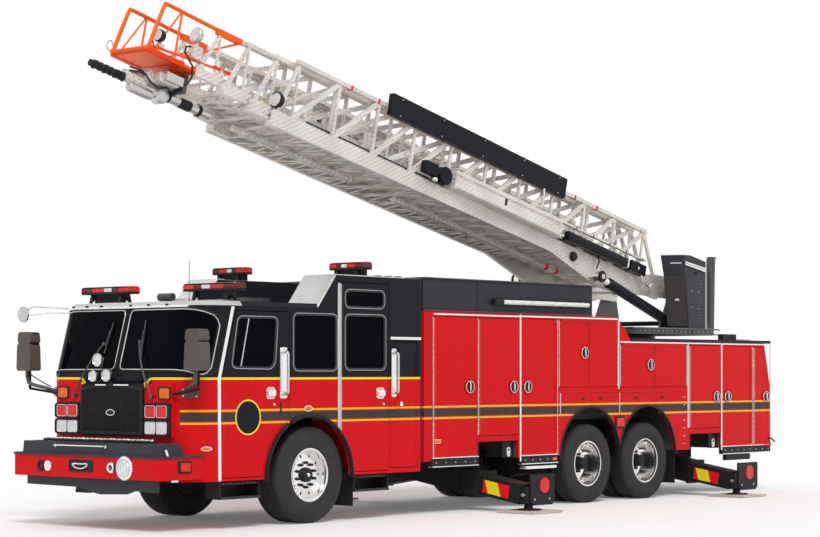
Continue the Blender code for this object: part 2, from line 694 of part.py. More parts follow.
def cab_shell():
    outer = loft(cab_levels(0.0, CAB_BOTTOM_Z, CAB_ROOF_Z))
    parts = [outer, *both_sides(raised_roof())]
    parts += both_sides(*light_bar(*FRONT_LIGHT_BAR), *light_bar(*REAR_LIGHT_BAR))
    room = cab_plan(CAB_WALL, 0.0, CREW_WALL_Y)
    void = loft([(CAB_FLOOR_Z, room), (BELT_Z, room),
                 (CAB_ROOF_Z - CAB_WALL, cab_plan(CAB_WALL, SCREEN_RAKE * 0.97, CREW_WALL_Y))])
    inner_x = (TUNNEL_HALF_X + CAB_WALL, HALF_WIDTH - CAB_WALL)
    through = (HALF_WIDTH - CAB_WALL - 0.01, HALF_WIDTH + 0.01)
    below = CAB_BOTTOM_Z - 0.1
    well = box((TUNNEL_HALF_X - 0.01, HALF_WIDTH - CAB_WALL + 0.005), (-WELL_HALF_Y, WELL_HALF_Y),
               (below, TUNNEL_TOP_Z))
    (y0, y1), (z0, z1) = CAB_BOX_DOOR
    box_door = rounded((y0 - SEAM / 2, y1 + SEAM / 2), (z0 - SEAM / 2, z1 + SEAM / 2), 0.03, 2)
    cuts = [void, *both_sides(
        box(inner_x, (FOOTWELL_Y[0], -WELL_HALF_Y - CAB_WALL), (FOOTWELL_BOTTOM_Z, CAB_FLOOR_Z + 0.02)),
        box(inner_x, (WELL_HALF_Y + CAB_WALL, FOOTWELL_Y[1]), (FOOTWELL_BOTTOM_Z, CAB_FLOOR_Z + 0.02)),
        box(*CAB_BOX_SPACE),
        raised_roof(CAB_WALL),
        box((RAISED_INNER_X + CAB_WALL + 0.01, HALF_WIDTH - CAB_WALL - 0.01), RAISED_SPACE_Y,
            (CAB_ROOF_Z - 0.15, CAB_ROOF_Z + 0.1)),
        well,
        prism("X", through, front_arch(ARCH_FRONT[2], -6, 186)),
        prism("X", through, front_door_outline(SEAM / 2)),
        prism("X", through, crew_door_outline(SEAM / 2)),
        prism("X", through, rounded(*FIXED_WINDOW)),
        prism("X", through, box_door))]
    tunnel_x = (-TUNNEL_HALF_X, TUNNEL_HALF_X)
    cuts.append(box(tunnel_x, (CAB_FRONT_Y + 0.056, CAB_REAR_Y + 0.1), (below, TUNNEL_TOP_Z)))
    cuts.append(box(tunnel_x, (CAB_FRONT_Y - 0.1, CAB_FRONT_Y + 0.2), (below, NOSE_GAP_TOP_Z)))
    cuts += windscreen_cuts()
    make("cab_shell", combine(parts, cuts), "red paint")


def windscreen_cuts():
    """The two openings of the windscreen, cut along Y through the front and its corners."""
    low, high = SCREEN_Z
    corners = [(x, base + z) for (x, z), base in zip(PANE, (low, low, high, high))]
    pane = [(PANE_INNER_X, low), *corners, (PANE_INNER_X, high)]
    return both_sides(prism("Y", (CAB_FRONT_Y - 0.2, CAB_CORNER_Y + SCREEN_RAKE + 0.12), pane))


def windscreen():
    """The glass, a thin shell just inside the front panel and its corners."""
    levels = []
    for z in (SCREEN_Z[0] - 0.03, SCREEN_Z[1] + 0.02):
        rake = SCREEN_RAKE * (z - BELT_Z) / (CAB_ROOF_Z - 0.05 - BELT_Z)
        levels.append((z, rake))
    inset = CAB_WALL + TOUCH
    front = [(z, [p for p in cab_plan(inset, rake) if p[1] < CAB_CORNER_Y + rake + 0.01]) for z, rake in levels]
    back = [(z, [p for p in cab_plan(inset + 0.008, rake) if p[1] < CAB_CORNER_Y + rake + 0.01])
            for z, rake in levels]
    closed = [(z, outline + list(reversed(inner))) for (z, outline), (_, inner) in zip(front, back)]
    points = [(x, y, z) for z, outline in closed for x, y in outline]
    size = len(closed[0][1])
    half = size // 2
    faces = []
    for base in (0, size):
        for i in range(half - 1):
            faces.append((base + i, base + i + 1, base + size - 2 - i, base + size - 1 - i))
    for i in range(size):
        j = (i + 1) % size
        faces.append((i, j, j + size, i + size))
    make("windscreen", new_mesh(points, faces), "dark glass")


HINGE_LEAF = 0.03
HINGE_LEAF_THICK = 0.005
HINGE_SINK = 0.002      # how deep the leaf lies in the door's face
HINGE_OUT = 0.006       # from the door's edge out to the hinge's axis


def hinge_strip(edge, ends, inward, axis="Z"):
    """A door's hinge: a knuckle that turns close over the frame beside edge, and a leaf on the door, inward."""
    knuckle = [(x, edge + inward * y) for x, y in arc((HINGE_X, -HINGE_OUT), HINGE_R, 45, -225, 6)]
    root_x = HALF_WIDTH - HINGE_SINK
    outline = [*knuckle, (root_x, edge + inward * SEAM * 0.6), (root_x, edge + inward * HINGE_LEAF),
               (HALF_WIDTH + HINGE_LEAF_THICK, edge + inward * HINGE_LEAF)]
    return prism(axis, ends, outline)


HANDLE_X = (HALF_WIDTH - 0.01, HALF_WIDTH + 0.03)
FRONT_HANDLE = ((-0.76, -0.64), (1.48, 1.54))
CREW_HANDLE = ((1.10, 1.22), (1.47, 1.53))
CAB_BOX_LATCH = (1.458, 1.364)


def cab_doors(label, side):
    panel_x = (HALF_WIDTH - CAB_WALL, HALF_WIDTH)
    window_x = (HALF_WIDTH - CAB_WALL - 0.02, HALF_WIDTH + 0.02)
    edge = FRONT_DOOR_Y[0]
    front = combine([prism("X", panel_x, front_door_outline(-SEAM / 2)), box(HANDLE_X, *FRONT_HANDLE),
                     hinge_strip(edge, (0.62, 1.66), 1)], [prism("X", window_x, FRONT_DOOR_WINDOW)])
    make(f"front_door_{label}", on_side(front, side), "red paint", (side * HINGE_X, edge - HINGE_OUT, 1.2))
    edge = CREW_DOOR_Y[0]
    crew = combine([prism("X", panel_x, crew_door_outline(-SEAM / 2)), box(HANDLE_X, *CREW_HANDLE),
                    hinge_strip(edge, (1.06, 2.78), 1)],
                   [prism("X", window_x, rounded(*window)) for window in (CREW_WINDOW, UPPER_WINDOW)])
    make(f"crew_door_{label}", on_side(crew, side), "red paint", (side * HINGE_X, edge - HINGE_OUT, 1.2))
    (y0, y1), (z0, z1) = CAB_BOX_DOOR
    latch = drum("X", (0, *CAB_BOX_LATCH), 0.05, (HALF_WIDTH - 0.01, HALF_WIDTH + 0.014), 8)
    outline = rounded((y0 + SEAM / 2, y1 - SEAM / 2), (z0 + SEAM / 2, z1 - SEAM / 2), 0.03, 2)
    locker = combine([prism("X", panel_x, outline), latch, hinge_strip(y1, (z0 + 0.06, z1 - 0.06), -1)])
    make(f"cab_locker_door_{label}", on_side(locker, side), "red paint", (side * HINGE_X, y1 + HINGE_OUT, 1.3))


# Body

# name, front Y, rear Y, bottom Z, top Z, hinge edge, handle Y, handle Z
LOCKERS = (
    ("locker_1", 2.142, 2.974, 0.670, 2.436, "front", 2.818, 1.563),
    ("locker_2", 3.013, 3.820, 0.946, 2.430, "front", 3.703, 1.559),
    ("locker_3", 3.870, 4.607, 0.670, 2.436, "rear", 3.993, 1.558),
    ("locker_4", 4.672, 5.974, 1.550, 2.435, "top", 5.223, 2.006),
    ("locker_5", 6.042, 7.640, 1.544, 2.130, "top", 6.753, 1.852),
    ("locker_6", 7.739, 8.520, 0.948, 2.130, "front", 8.409, 1.396),
    ("locker_7", 8.560, 9.340, 0.672, 2.126, "rear", 8.698, 1.394),
    ("locker_8", 9.422, 9.790, 0.672, 2.120, "front", 9.733, 1.386),
)
LOCKER_LIP = 0.02
BED_INNER_X = 0.80
BED_FLOOR_Z = 2.473
BED_CUT_TOP_Z = 2.53
BED_REAR_GAP = 0.25
CRADLE_PAD_Z = (2.63, 2.69)
CRADLE_POST_X = (0.48, 0.58)
SLEW_RING_R = 0.62
BRACE_REAR_Y = 6.31
TANDEM_WELL = ((0.55, HALF_WIDTH - WALL), (4.705, 7.40))
OUTRIGGER_BAY = (0.405, 0.872)          # half its length, and its top
BODY_CORE_Z = RAIL_TOP_Z + TOUCH
CRADLE_Y = 2.30


def locker_outline(row, grow=0.0):
    """Side view of a locker's opening or door; the last one follows the slant of the rear end."""
    name, y0, y1, z0, z1, *_ = row
    low, high = (y0 - grow, z0 - grow), (y1 + grow, z1 + grow)
    if row is LOCKERS[-1]:
        rear = [(high[0] + 0.03, low[1]), (high[0] + 0.005, 1.50), (high[0] - 0.15, high[1])]
    else:
        rear = [(high[0], low[1]), high]
    return [low, *rear, (low[0], high[1])]


def body_outline():
    """The body's side view up to its top decks."""
    return [(BODY_FRONT_Y, BODY_BOTTOM_Z), (REAR_Y, BODY_BOTTOM_Z), (9.866, 1.52), (9.70, BODY_LOW_Z),
            (HIGH_REAR_Y, BODY_LOW_Z), (HIGH_REAR_Y, BODY_HIGH_Z), (BODY_FRONT_Y, BODY_HIGH_Z)]


def rear_arches():
    """Outline of the tandem's two arches, joined by the low tip between them."""
    centres = [(y - 0.005, ARCH_REAR_Z) for y in REAR_AXLE_YS]
    meet = (REAR_AXLE_YS[1] - REAR_AXLE_YS[0]) / 2
    turn = math.degrees(math.acos(meet / (ARCH_REAR_R + 0.02)))
    first = arc(centres[1], ARCH_REAR_R, -8, 180 - turn, 9)
    second = arc(centres[0], ARCH_REAR_R, turn, 188, 9)
    return first + second


def body_shell():
    core = prism("X", (-HALF_WIDTH, HALF_WIDTH), body_outline())
    bed_wall = box((BED_INNER_X, HALF_WIDTH - 0.012), (BODY_FRONT_Y, BED_WALL_REAR_Y),
                   (BED_FLOOR_Z - 0.03, BED_WALL_TOP_Z))
    brace = prism("X", (HALF_WIDTH - WALL, HALF_WIDTH - 0.002), [
        (HIGH_REAR_Y - 0.006, BODY_LOW_Z - 0.02), (BRACE_REAR_Y, BODY_LOW_Z - 0.02), (BRACE_REAR_Y, BODY_LOW_Z),
        (HIGH_REAR_Y, BODY_HIGH_Z), (HIGH_REAR_Y - 0.006, BODY_HIGH_Z)])
    cradle_post = box(CRADLE_POST_X, (CRADLE_Y - 0.05, CRADLE_Y + 0.05),
                      (BED_FLOOR_Z - 0.02, CRADLE_PAD_Z[0] + 0.01))
    cradle_pad = box((-0.62, 0.62), (CRADLE_Y - 0.07, CRADLE_Y + 0.07), CRADLE_PAD_Z)
    ring = drum("Z", (0, TURNTABLE_Y, 0), SLEW_RING_R, (BODY_LOW_Z - 0.05, PLATFORM_BOTTOM_Z - TOUCH), 20)
    parts = [*both_sides(bed_wall, brace, cradle_post), cradle_pad, ring]
    cuts = [box((-0.60, 0.60), (BODY_FRONT_Y - 0.1, REAR_Y + 0.1), (0.3, BODY_CORE_Z)),
            box((-BED_INNER_X, BED_INNER_X), (BODY_FRONT_Y - 0.1, HIGH_REAR_Y - BED_REAR_GAP),
                (BED_FLOOR_Z, BED_CUT_TOP_Z))]
    half_bay, bay_top = OUTRIGGER_BAY
    for _, middle in STATIONS:
        cuts.append(box((-HALF_WIDTH - 0.1, HALF_WIDTH + 0.1), (middle - half_bay, middle + half_bay),
                        (0.3, bay_top)))
    through = (HALF_WIDTH - WALL - 0.01, HALF_WIDTH + 0.01)
    side_cuts = [prism("X", through, rear_arches()),
                 box(*TANDEM_WELL, (0.3, ARCH_REAR_Z + ARCH_REAR_R + 0.01))]
    bin_space = box((BED_INNER_X + 0.04, HALF_WIDTH - 0.06), (BODY_FRONT_Y + 0.04, BED_WALL_REAR_Y - 0.04),
                    (BED_WALL_TOP_Z - 0.30, BED_WALL_TOP_Z + 0.1))
    for row in LOCKERS:
        side_cuts.append(prism("X", (HALF_WIDTH - WALL, HALF_WIDTH + 0.01), locker_outline(row, SEAM / 2)))
        side_cuts.append(prism("X", (INNER_WALL_X, HALF_WIDTH - WALL + 0.01), locker_outline(row, -LOCKER_LIP)))
    cuts += both_sides(*side_cuts)
    shell = combine([core], cuts)
    make("body_shell", combine([shell, *parts], both_sides(bin_space)), "red paint")


def locker_door(label, side, row):
    name, y0, y1, z0, z1, hinge, handle_y, handle_z = row
    panel = prism("X", (HALF_WIDTH - WALL + TOUCH, HALF_WIDTH), locker_outline(row, -SEAM / 2))
    handle = drum("X", (0, handle_y, handle_z), 0.055, (HALF_WIDTH - 0.01, HALF_WIDTH + 0.014), 8)
    if hinge == "top":
        hinge_piece = hinge_strip(z1, (y0 + 0.05, y1 - 0.05), -1, "Y")
        pivot = (side * HINGE_X, (y0 + y1) / 2, z1 + HINGE_OUT)
    else:
        edge, inward = (y0, 1) if hinge == "front" else (y1, -1)
        hinge_piece = hinge_strip(edge, (z0 + 0.04, z1 - 0.04), inward)
        pivot = (side * HINGE_X, edge - inward * HINGE_OUT, (z0 + z1) / 2)
    make(f"{name}_door_{label}", on_side(combine([panel, handle, hinge_piece]), side), "red paint", pivot)


# Outriggers, each laid out along its own slope from its pivot

HOUSING_Y = (0.026, 0.346)      # from the station's middle to the housing's two faces
HOUSING_HALF_Z = 0.15
HOUSING_WALL = 0.02
HOUSING_LENGTH = 1.86
BEAM_START = 1.38
PLATE_X = 1.95
PLATE_Z = (0.09, 0.475)
PLATE_HALF_Y = 0.245
FOOT_X = 1.895
PAD_HALF = 0.30
PAD_Z = (0.006, 0.030)
BEAM_GAP = 0.005


def along_slope(mesh):
    """Lean a mesh built along +X from the pivot down the outrigger's slope, then put it in place."""
    mesh.transform(Matrix.Translation((OUTRIGGER_PIVOT[0], 0, OUTRIGGER_PIVOT[1]))
                   @ Matrix.Rotation(OUTRIGGER_SLOPE, 4, "Y"))
    return mesh


def outrigger(place, middle, label, side):
    """The left outrigger lies in the front slot of its station, the right one in the rear slot."""
    near, far = HOUSING_Y
    y = (middle - far, middle - near) if side > 0 else (middle + near, middle + far)
    wall = HOUSING_WALL
    shell = box((-0.10, HOUSING_LENGTH), y, (-HOUSING_HALF_Z, HOUSING_HALF_Z))
    collar = box((HOUSING_LENGTH - 0.05, HOUSING_LENGTH), (y[0] - 0.012, y[1] + 0.012),
                 (-HOUSING_HALF_Z - 0.015, HOUSING_HALF_Z + 0.015))
    inner_y = (y[0] + wall, y[1] - wall)
    inner_z = (-HOUSING_HALF_Z + wall, HOUSING_HALF_Z - wall)
    beam_y = (inner_y[0] + BEAM_GAP, inner_y[1] - BEAM_GAP)
    beam_z = (inner_z[0] + BEAM_GAP, inner_z[1] - BEAM_GAP)
    void = box((0.55, HOUSING_LENGTH - 0.06), inner_y, inner_z)
    mouth = box((HOUSING_LENGTH - 0.08, HOUSING_LENGTH + 0.1), (beam_y[0] - PIN_GAP, beam_y[1] + PIN_GAP),
                (beam_z[0] - PIN_GAP, beam_z[1] + PIN_GAP))
    hole = bore("Y", (0, sum(y) / 2, 0), OUTRIGGER_PIN_R, (-0.3, 0.3), PIN_SEGMENTS)
    pivot = (side * OUTRIGGER_PIVOT[0], middle, OUTRIGGER_PIVOT[1])
    housing = along_slope(combine([shell, collar], [void, mouth, hole]))
    make(f"outrigger_housing_{place}_{label}", on_side(housing, side), "frame black", pivot)

    beam = along_slope(box((BEAM_START, 2.50), beam_y, beam_z))
    slot = sum(y) / 2
    root = box((PLATE_X - 0.16, PLATE_X - 0.01), (slot - 0.12, slot + 0.12), (0.12, 0.32))
    plate = prism("X", (PLATE_X - 0.012, PLATE_X + 0.012), [
        (middle - PLATE_HALF_Y, PLATE_Z[0] + 0.05), (middle - PLATE_HALF_Y + 0.05, PLATE_Z[0]),
        (middle + PLATE_HALF_Y - 0.05, PLATE_Z[0]), (middle + PLATE_HALF_Y, PLATE_Z[0] + 0.05),
        (middle + PLATE_HALF_Y, PLATE_Z[1]), (middle - PLATE_HALF_Y, PLATE_Z[1])])
    post = drum("Z", (FOOT_X, slot, 0), 0.045, (PAD_Z[1] - 0.005, 0.20), 8)
    disc = drum("Z", (FOOT_X, slot, 0), 0.15, (PAD_Z[1] - 0.005, PAD_Z[1] + 0.018), 12)
    pad = box((FOOT_X - PAD_HALF, FOOT_X + PAD_HALF), (slot - PAD_HALF, slot + PAD_HALF), PAD_Z)
    mesh = combine([beam, root, plate, post, disc, pad])
    make(f"outrigger_beam_{place}_{label}", on_side(mesh, side), "frame black", pivot)


# Turntable and lift

BRACKET_X = (0.580, 0.612)
LOWER_PIN = (8.06, 2.455)
UPPER_PIN_LOCAL = (2.023, -0.351)
LIFT_X = 0.70
LIFT_PIN_R = 0.035
BARREL_R = 0.075
ROD_R = 0.05
CONSOLE_X = (0.80, 1.10)
CONSOLE_FOOT_Y = (7.94, 8.37)
CONSOLE_TOP_Z = 3.42
CONSOLE_REAR_Z = 3.34
CONSOLE_LEAN = 0.14
CONSOLE_MITRE = 0.14
PLATFORM_PLAN = [(0.95, 6.51), (1.08, 6.70), (1.12, 8.55), (0.98, 8.72)]
PIVOT_BOSS_R = 0.13
HEEL_PIN_R = 0.05
REAR_POST = ((1.0, 8.66, PLATFORM_TOP_Z - 0.01), (1.0, 8.69, 3.41))


def turntable():
    platform = prism("Z", (PLATFORM_BOTTOM_Z, PLATFORM_TOP_Z),
                     PLATFORM_PLAN + [(-x, y) for x, y in reversed(PLATFORM_PLAN)])
    y, z = LADDER_PIVOT
    foot = PLATFORM_TOP_Z - 0.01
    bracket = prism("X", BRACKET_X, [
        (7.90, foot), (8.62, foot), (y + PIVOT_BOSS_R, z), *arc((y, z), PIVOT_BOSS_R, 20, 150, 5), (8.0, 2.56)])
    pivot_pin = drum("X", (0, y, z), HEEL_PIN_R, (0.495, BRACKET_X[1] + 0.02), 12)
    post = rod(*REAR_POST, 0.045, 8)
    hole = bore("X", (0, *LOWER_PIN), LIFT_PIN_R, (0.5, 0.7), 12, turned=True)
    parts = [platform, *both_sides(bracket, pivot_pin), post]
    make("turntable", combine(parts, both_sides(hole)), "grey paint", (0, TURNTABLE_Y, PLATFORM_BOTTOM_Z))


def console():
    """The operator's stand: a front that leans forward and is mitred, and a top that falls to the rear."""
    low = PLATFORM_TOP_Z + TOUCH
    body = prism("X", CONSOLE_X, [
        (CONSOLE_FOOT_Y[0], low), (CONSOLE_FOOT_Y[1], low), (CONSOLE_FOOT_Y[1], CONSOLE_REAR_Z),
        (CONSOLE_FOOT_Y[0] + 0.03, CONSOLE_TOP_Z), (CONSOLE_FOOT_Y[0] - CONSOLE_LEAN, CONSOLE_TOP_Z)])
    for corner in body.vertices:
        if corner.co.x < sum(CONSOLE_X) / 2 and corner.co.y <= CONSOLE_FOOT_Y[0]:
            corner.co.y -= CONSOLE_MITRE
    make("console", body, "black paint", (0, TURNTABLE_Y, low))


def world_from_ladder(s, h):
    """Y and Z of a point s along the ladder from its pivot and h above the pivot's line."""
    c, d = math.cos(LADDER_TILT), math.sin(LADDER_TILT)
    return LADDER_PIVOT[0] - s * c + h * d, LADDER_PIVOT[1] + s * d + h * c


def lift_cylinders():
    upper = world_from_ladder(*UPPER_PIN_LOCAL)
    low = Vector((0, *LOWER_PIN))
    high = Vector((0, *upper))
    span = (high - low).length
    way = (high - low) / span
    shaft = drum("X", low, LIFT_PIN_R, (-LIFT_X - 0.06, LIFT_X + 0.06), 12)
    side = Vector((LIFT_X, 0, 0))
    barrel = rod(side + low + way * 0.02, side + low + way * (span - 0.24), BARREL_R, 12)
    eye = drum("X", low, 0.075, (LIFT_X - 0.05, LIFT_X + 0.05), 12)
    hole = rod(side + low + way * 0.045, side + low + way * span, ROD_R + PIN_GAP, 12)
    pivot = (0, *LOWER_PIN)
    make("lift_barrels", combine([shaft, *both_sides(barrel, eye)], both_sides(hole)), "black paint", pivot)
    for label, sign in SIDES:
        shaft = rod(side + low + way * 0.18, side + high - way * 0.05, ROD_R, 12)
        eye = drum("X", high, 0.07, (LIFT_X - 0.045, LIFT_X + 0.045), 12)
        make(f"lift_rod_{label}", on_side(combine([shaft, eye]), sign), "bright metal", pivot)


# Ladder sections, in the ladder's own frame: x across, -y towards the tip, z up, from the heel pivot

# name, outer half width, bottom of rails, rail height, top of top rail, heel end, tip end, bay in rungs
SECTIONS = (
    ("base_section", 0.570, -0.250, 0.190, 0.650, 0.40, 8.50, 2),
    ("outer_mid_section", 0.485, -0.170, 0.160, 0.620, 0.60, 8.80, 3),
    ("inner_mid_section", 0.405, -0.080, 0.130, 0.640, 0.80, 9.20, 3),
    ("fly_section", 0.325, 0.010, 0.110, 0.660, 1.00, 9.60, 3),
)
RAIL_WIDTH = 0.055
WEB = 0.03
TOP_RAIL = 0.05
MEMBER = 0.045
RUNG = 0.03
PAD_LENGTH = 0.30
SIGN_S = (2.93, 6.60)
SIGN_H = (0.51, 0.78)


def truss_web(half, low, high, start, end, bay):
    """One side's lattice: a plate from rail to rail, two triangles cut from each bay.

    Every bay keeps an upright at its heel end and a diagonal that falls towards the tip.
    """
    bays = round((end - start) / bay)
    pitch = (end - start) / bays
    holes = []
    for i in range(bays):
        heel = -start - i * pitch - MEMBER / 2
        tip = -start - (i + 1) * pitch + MEMBER / 2
        holes.append([(heel, high - MEMBER), (heel, low), (tip + MEMBER, low)])
        holes.append([(tip, low + MEMBER), (heel - MEMBER, high), (tip, high)])
    outline = [(-start, low - 0.02), (-end, low - 0.02), (-end, high + 0.02), (-start, high + 0.02)]
    x = half - RAIL_WIDTH / 2
    return prism("X", (x - WEB / 2, x + WEB / 2), outline, holes)


def section(index):
    name, half, bottom, rail, top, start, end, bay = SECTIONS[index]
    inner = half - RAIL_WIDTH
    base = index == 0
    side = [box((inner, half), (-end, -start), (bottom, bottom + rail)),
            box((half - RAIL_WIDTH, half), (-end + 0.25, -start - 0.45), (top - TOP_RAIL, top)),
            truss_web(half, bottom + rail, top - TOP_RAIL, start + 0.5, end - 0.30,
                      bay * RUNG_PITCH),
            bar((half - RAIL_WIDTH / 2, -start - 0.05, bottom + rail - 0.03),
                (half - RAIL_WIDTH / 2, -start - 0.52, top - 0.03), WEB, 0.05),
            bar((half - RAIL_WIDTH / 2, -end + 0.05, bottom + rail - 0.03),
                (half - RAIL_WIDTH / 2, -end + 0.31, top - 0.03), WEB, 0.05)]
    if index + 1 < len(SECTIONS):
        _, next_half, next_bottom, *_ = SECTIONS[index + 1]
        for s in (end - 0.15, end - 2.0):
            side.append(box((next_half - RAIL_WIDTH, inner + 0.01), (-s - PAD_LENGTH / 2, -s + PAD_LENGTH / 2),
                            (bottom + 0.01, next_bottom - PIN_GAP)))
    cuts = []
    if base:
        gusset = [(-3.07, bottom + 0.01), (-1.985, -0.425), (-1.60, -0.425), (-0.30, -0.20), (0.10, -0.13),
                  (0.13, 0.0), (0.10, 0.13), (0.0, 0.16), (-0.45, 0.10), (-1.2, bottom + rail - 0.01),
                  (-3.07, bottom + rail - 0.01)]
        side.append(prism("X", (half - RAIL_WIDTH + 0.001, half - 0.001), gusset))
        side.append(box((half - 0.01, 0.63), (-SIGN_S[1], -SIGN_S[0]), SIGN_H))
        side.append(drum("X", (0, -UPPER_PIN_LOCAL[0], UPPER_PIN_LOCAL[1]), 0.06, (half - 0.02, LIFT_X - 0.055), 10))
        cuts = both_sides(bore("X", (0, 0, 0), HEEL_PIN_R, (0.4, 0.7), 12))
    parts = both_sides(*side)
    first = int((start + 0.25) / RUNG_PITCH) + 1
    s = first * RUNG_PITCH
    while s < end - 0.05:
        parts.append(box((-inner - 0.01, inner + 0.01), (-s - RUNG / 2, -s + RUNG / 2),
                         (bottom + 0.02, bottom + 0.02 + RUNG)))
        s += RUNG_PITCH
    if index + 1 == len(SECTIONS):
        parts += fly_tip(half, end)
    mesh = combine(parts, cuts)
    make(name, mesh, "white ladder", (0, *LADDER_PIVOT), LADDER_TILT, local=True)


PIPE_H = -0.25
PIPE_R = 0.055
NOZZLE_END = 10.87


def fly_tip(half, end):
    """Handrail hoops, water pipe and nozzle at the tip of the fly section."""
    parts = []
    x = half - RAIL_WIDTH / 2
    hoop = [(x, -8.95, 0.64), (x, -10.20, 0.665), (x, -10.33, 0.10), (x, -end + 0.1, 0.06)]
    for a, b in zip(hoop, hoop[1:]):
        parts += both_sides(rod(a, b, 0.02, 8))
    tray = box((-x, x), (-10.32, -end + 0.05), (0.05, 0.09))
    pipe = rod((0, -9.0, PIPE_H), (0, -10.25, PIPE_H), PIPE_R, 12)
    nozzle = rod((0, -10.2, PIPE_H), (0, -NOZZLE_END, PIPE_H), 0.035, 12)
    hanger = box((-0.04, 0.04), (-9.60, -9.45), (PIPE_H, 0.05))
    cross = box((-half + 0.03, half - 0.03), (-9.60, -9.45), (0.02, 0.07))
    return parts + [tray, pipe, nozzle, hanger, cross]


def build():
    for thing in list(bpy.data.objects):
        bpy.data.objects.remove(thing)
    datum = bpy.data.objects.new("datum", None)
    datum.location = (0, -DATUM_Y, 0)
    bpy.context.scene.collection.objects.link(datum)
    chassis_frame()
    engine_block()
    front_axle()
    rear_axles()
    bumper()
    cab_front()
    cab_shell()
    windscreen()
    body_shell()
    for label, side in SIDES:
        knuckle(label, side)
        front_wheel(label, side)
        for index in range(len(REAR_AXLE_YS)):
            twin_wheel(label, index, side)
        cab_doors(label, side)
        for row in LOCKERS:
            locker_door(label, side, row)
        for place, middle in STATIONS:
            outrigger(place, middle, label, side)
    turntable()
    console()
    lift_cylinders()
    for index in range(len(SECTIONS)):
        section(index)


build()
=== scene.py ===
"""Looks of the fire engine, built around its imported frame.

Sizes are metres. Every piece is laid out from the front axle (Y = 0 there, +Y to the rear, +X to the
vehicle's left, Z = 0 on the ground) and moved into the row frame as it is made.
"""

import json
from collections import namedtuple
from math import cos, exp, pi, radians, sin, sqrt

import bmesh
import bpy
from mathutils import Matrix, Vector

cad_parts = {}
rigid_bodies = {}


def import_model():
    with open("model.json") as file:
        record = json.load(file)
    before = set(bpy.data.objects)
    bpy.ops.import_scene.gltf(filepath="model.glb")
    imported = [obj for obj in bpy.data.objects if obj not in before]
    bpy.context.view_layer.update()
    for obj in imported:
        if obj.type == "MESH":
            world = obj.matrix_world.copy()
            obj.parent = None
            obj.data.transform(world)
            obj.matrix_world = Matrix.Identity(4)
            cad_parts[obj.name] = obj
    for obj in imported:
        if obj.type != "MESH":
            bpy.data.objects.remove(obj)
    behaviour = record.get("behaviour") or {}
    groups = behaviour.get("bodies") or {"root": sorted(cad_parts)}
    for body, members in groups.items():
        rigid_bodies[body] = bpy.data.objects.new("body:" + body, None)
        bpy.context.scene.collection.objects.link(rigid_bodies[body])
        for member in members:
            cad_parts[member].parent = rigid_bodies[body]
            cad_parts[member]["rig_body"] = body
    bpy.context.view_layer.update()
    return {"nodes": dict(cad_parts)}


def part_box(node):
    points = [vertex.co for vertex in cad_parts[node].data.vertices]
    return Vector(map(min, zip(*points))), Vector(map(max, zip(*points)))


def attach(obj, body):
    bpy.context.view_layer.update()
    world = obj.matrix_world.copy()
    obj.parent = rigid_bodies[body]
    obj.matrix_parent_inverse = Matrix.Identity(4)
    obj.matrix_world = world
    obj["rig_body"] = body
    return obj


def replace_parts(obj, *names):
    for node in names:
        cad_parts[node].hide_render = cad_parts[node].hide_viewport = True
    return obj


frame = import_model()


def middle(node):
    low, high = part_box(node)
    return (low + high) / 2


AXLE_Y = middle("front_wheel_left").y
TO_ROW = Matrix.Translation((0, AXLE_Y, 0))
SIDES = (("left", 1), ("right", -1))

HALF_WIDTH = 1.25
REAR_AXLE_YS = (5.38, 6.71)
BELT_Z = 1.676
BELT_HALF = 0.013
STRIPES_Z = (1.182, 1.321)
STRIPE_HALF = 0.011
STRIPE_GAP = 0.012
BODY_HIGH_Z = 2.493
LADDER_PIVOT = (8.35, 2.95)
LADDER_TILT = radians(13.2)
STATIONS = (("front", 3.403), ("rear", 8.142))


# Meshes

# how an outline's two numbers and the distance along the axis make a point
PLACES = {"X": lambda u, v, w: (w, u, v), "Y": lambda u, v, w: (u, w, v), "Z": lambda u, v, w: (u, v, w)}


def flipped(side):
    """1 keeps the vehicle's left side, and -1 mirrors it to the right."""
    return Matrix.Diagonal((side, 1, 1, 1))


def signed_area(outline):
    """Twice the area, above 0 where the outline runs anticlockwise."""
    return sum(a[0] * b[1] - b[0] * a[1] for a, b in zip(outline, outline[1:] + outline[:1]))


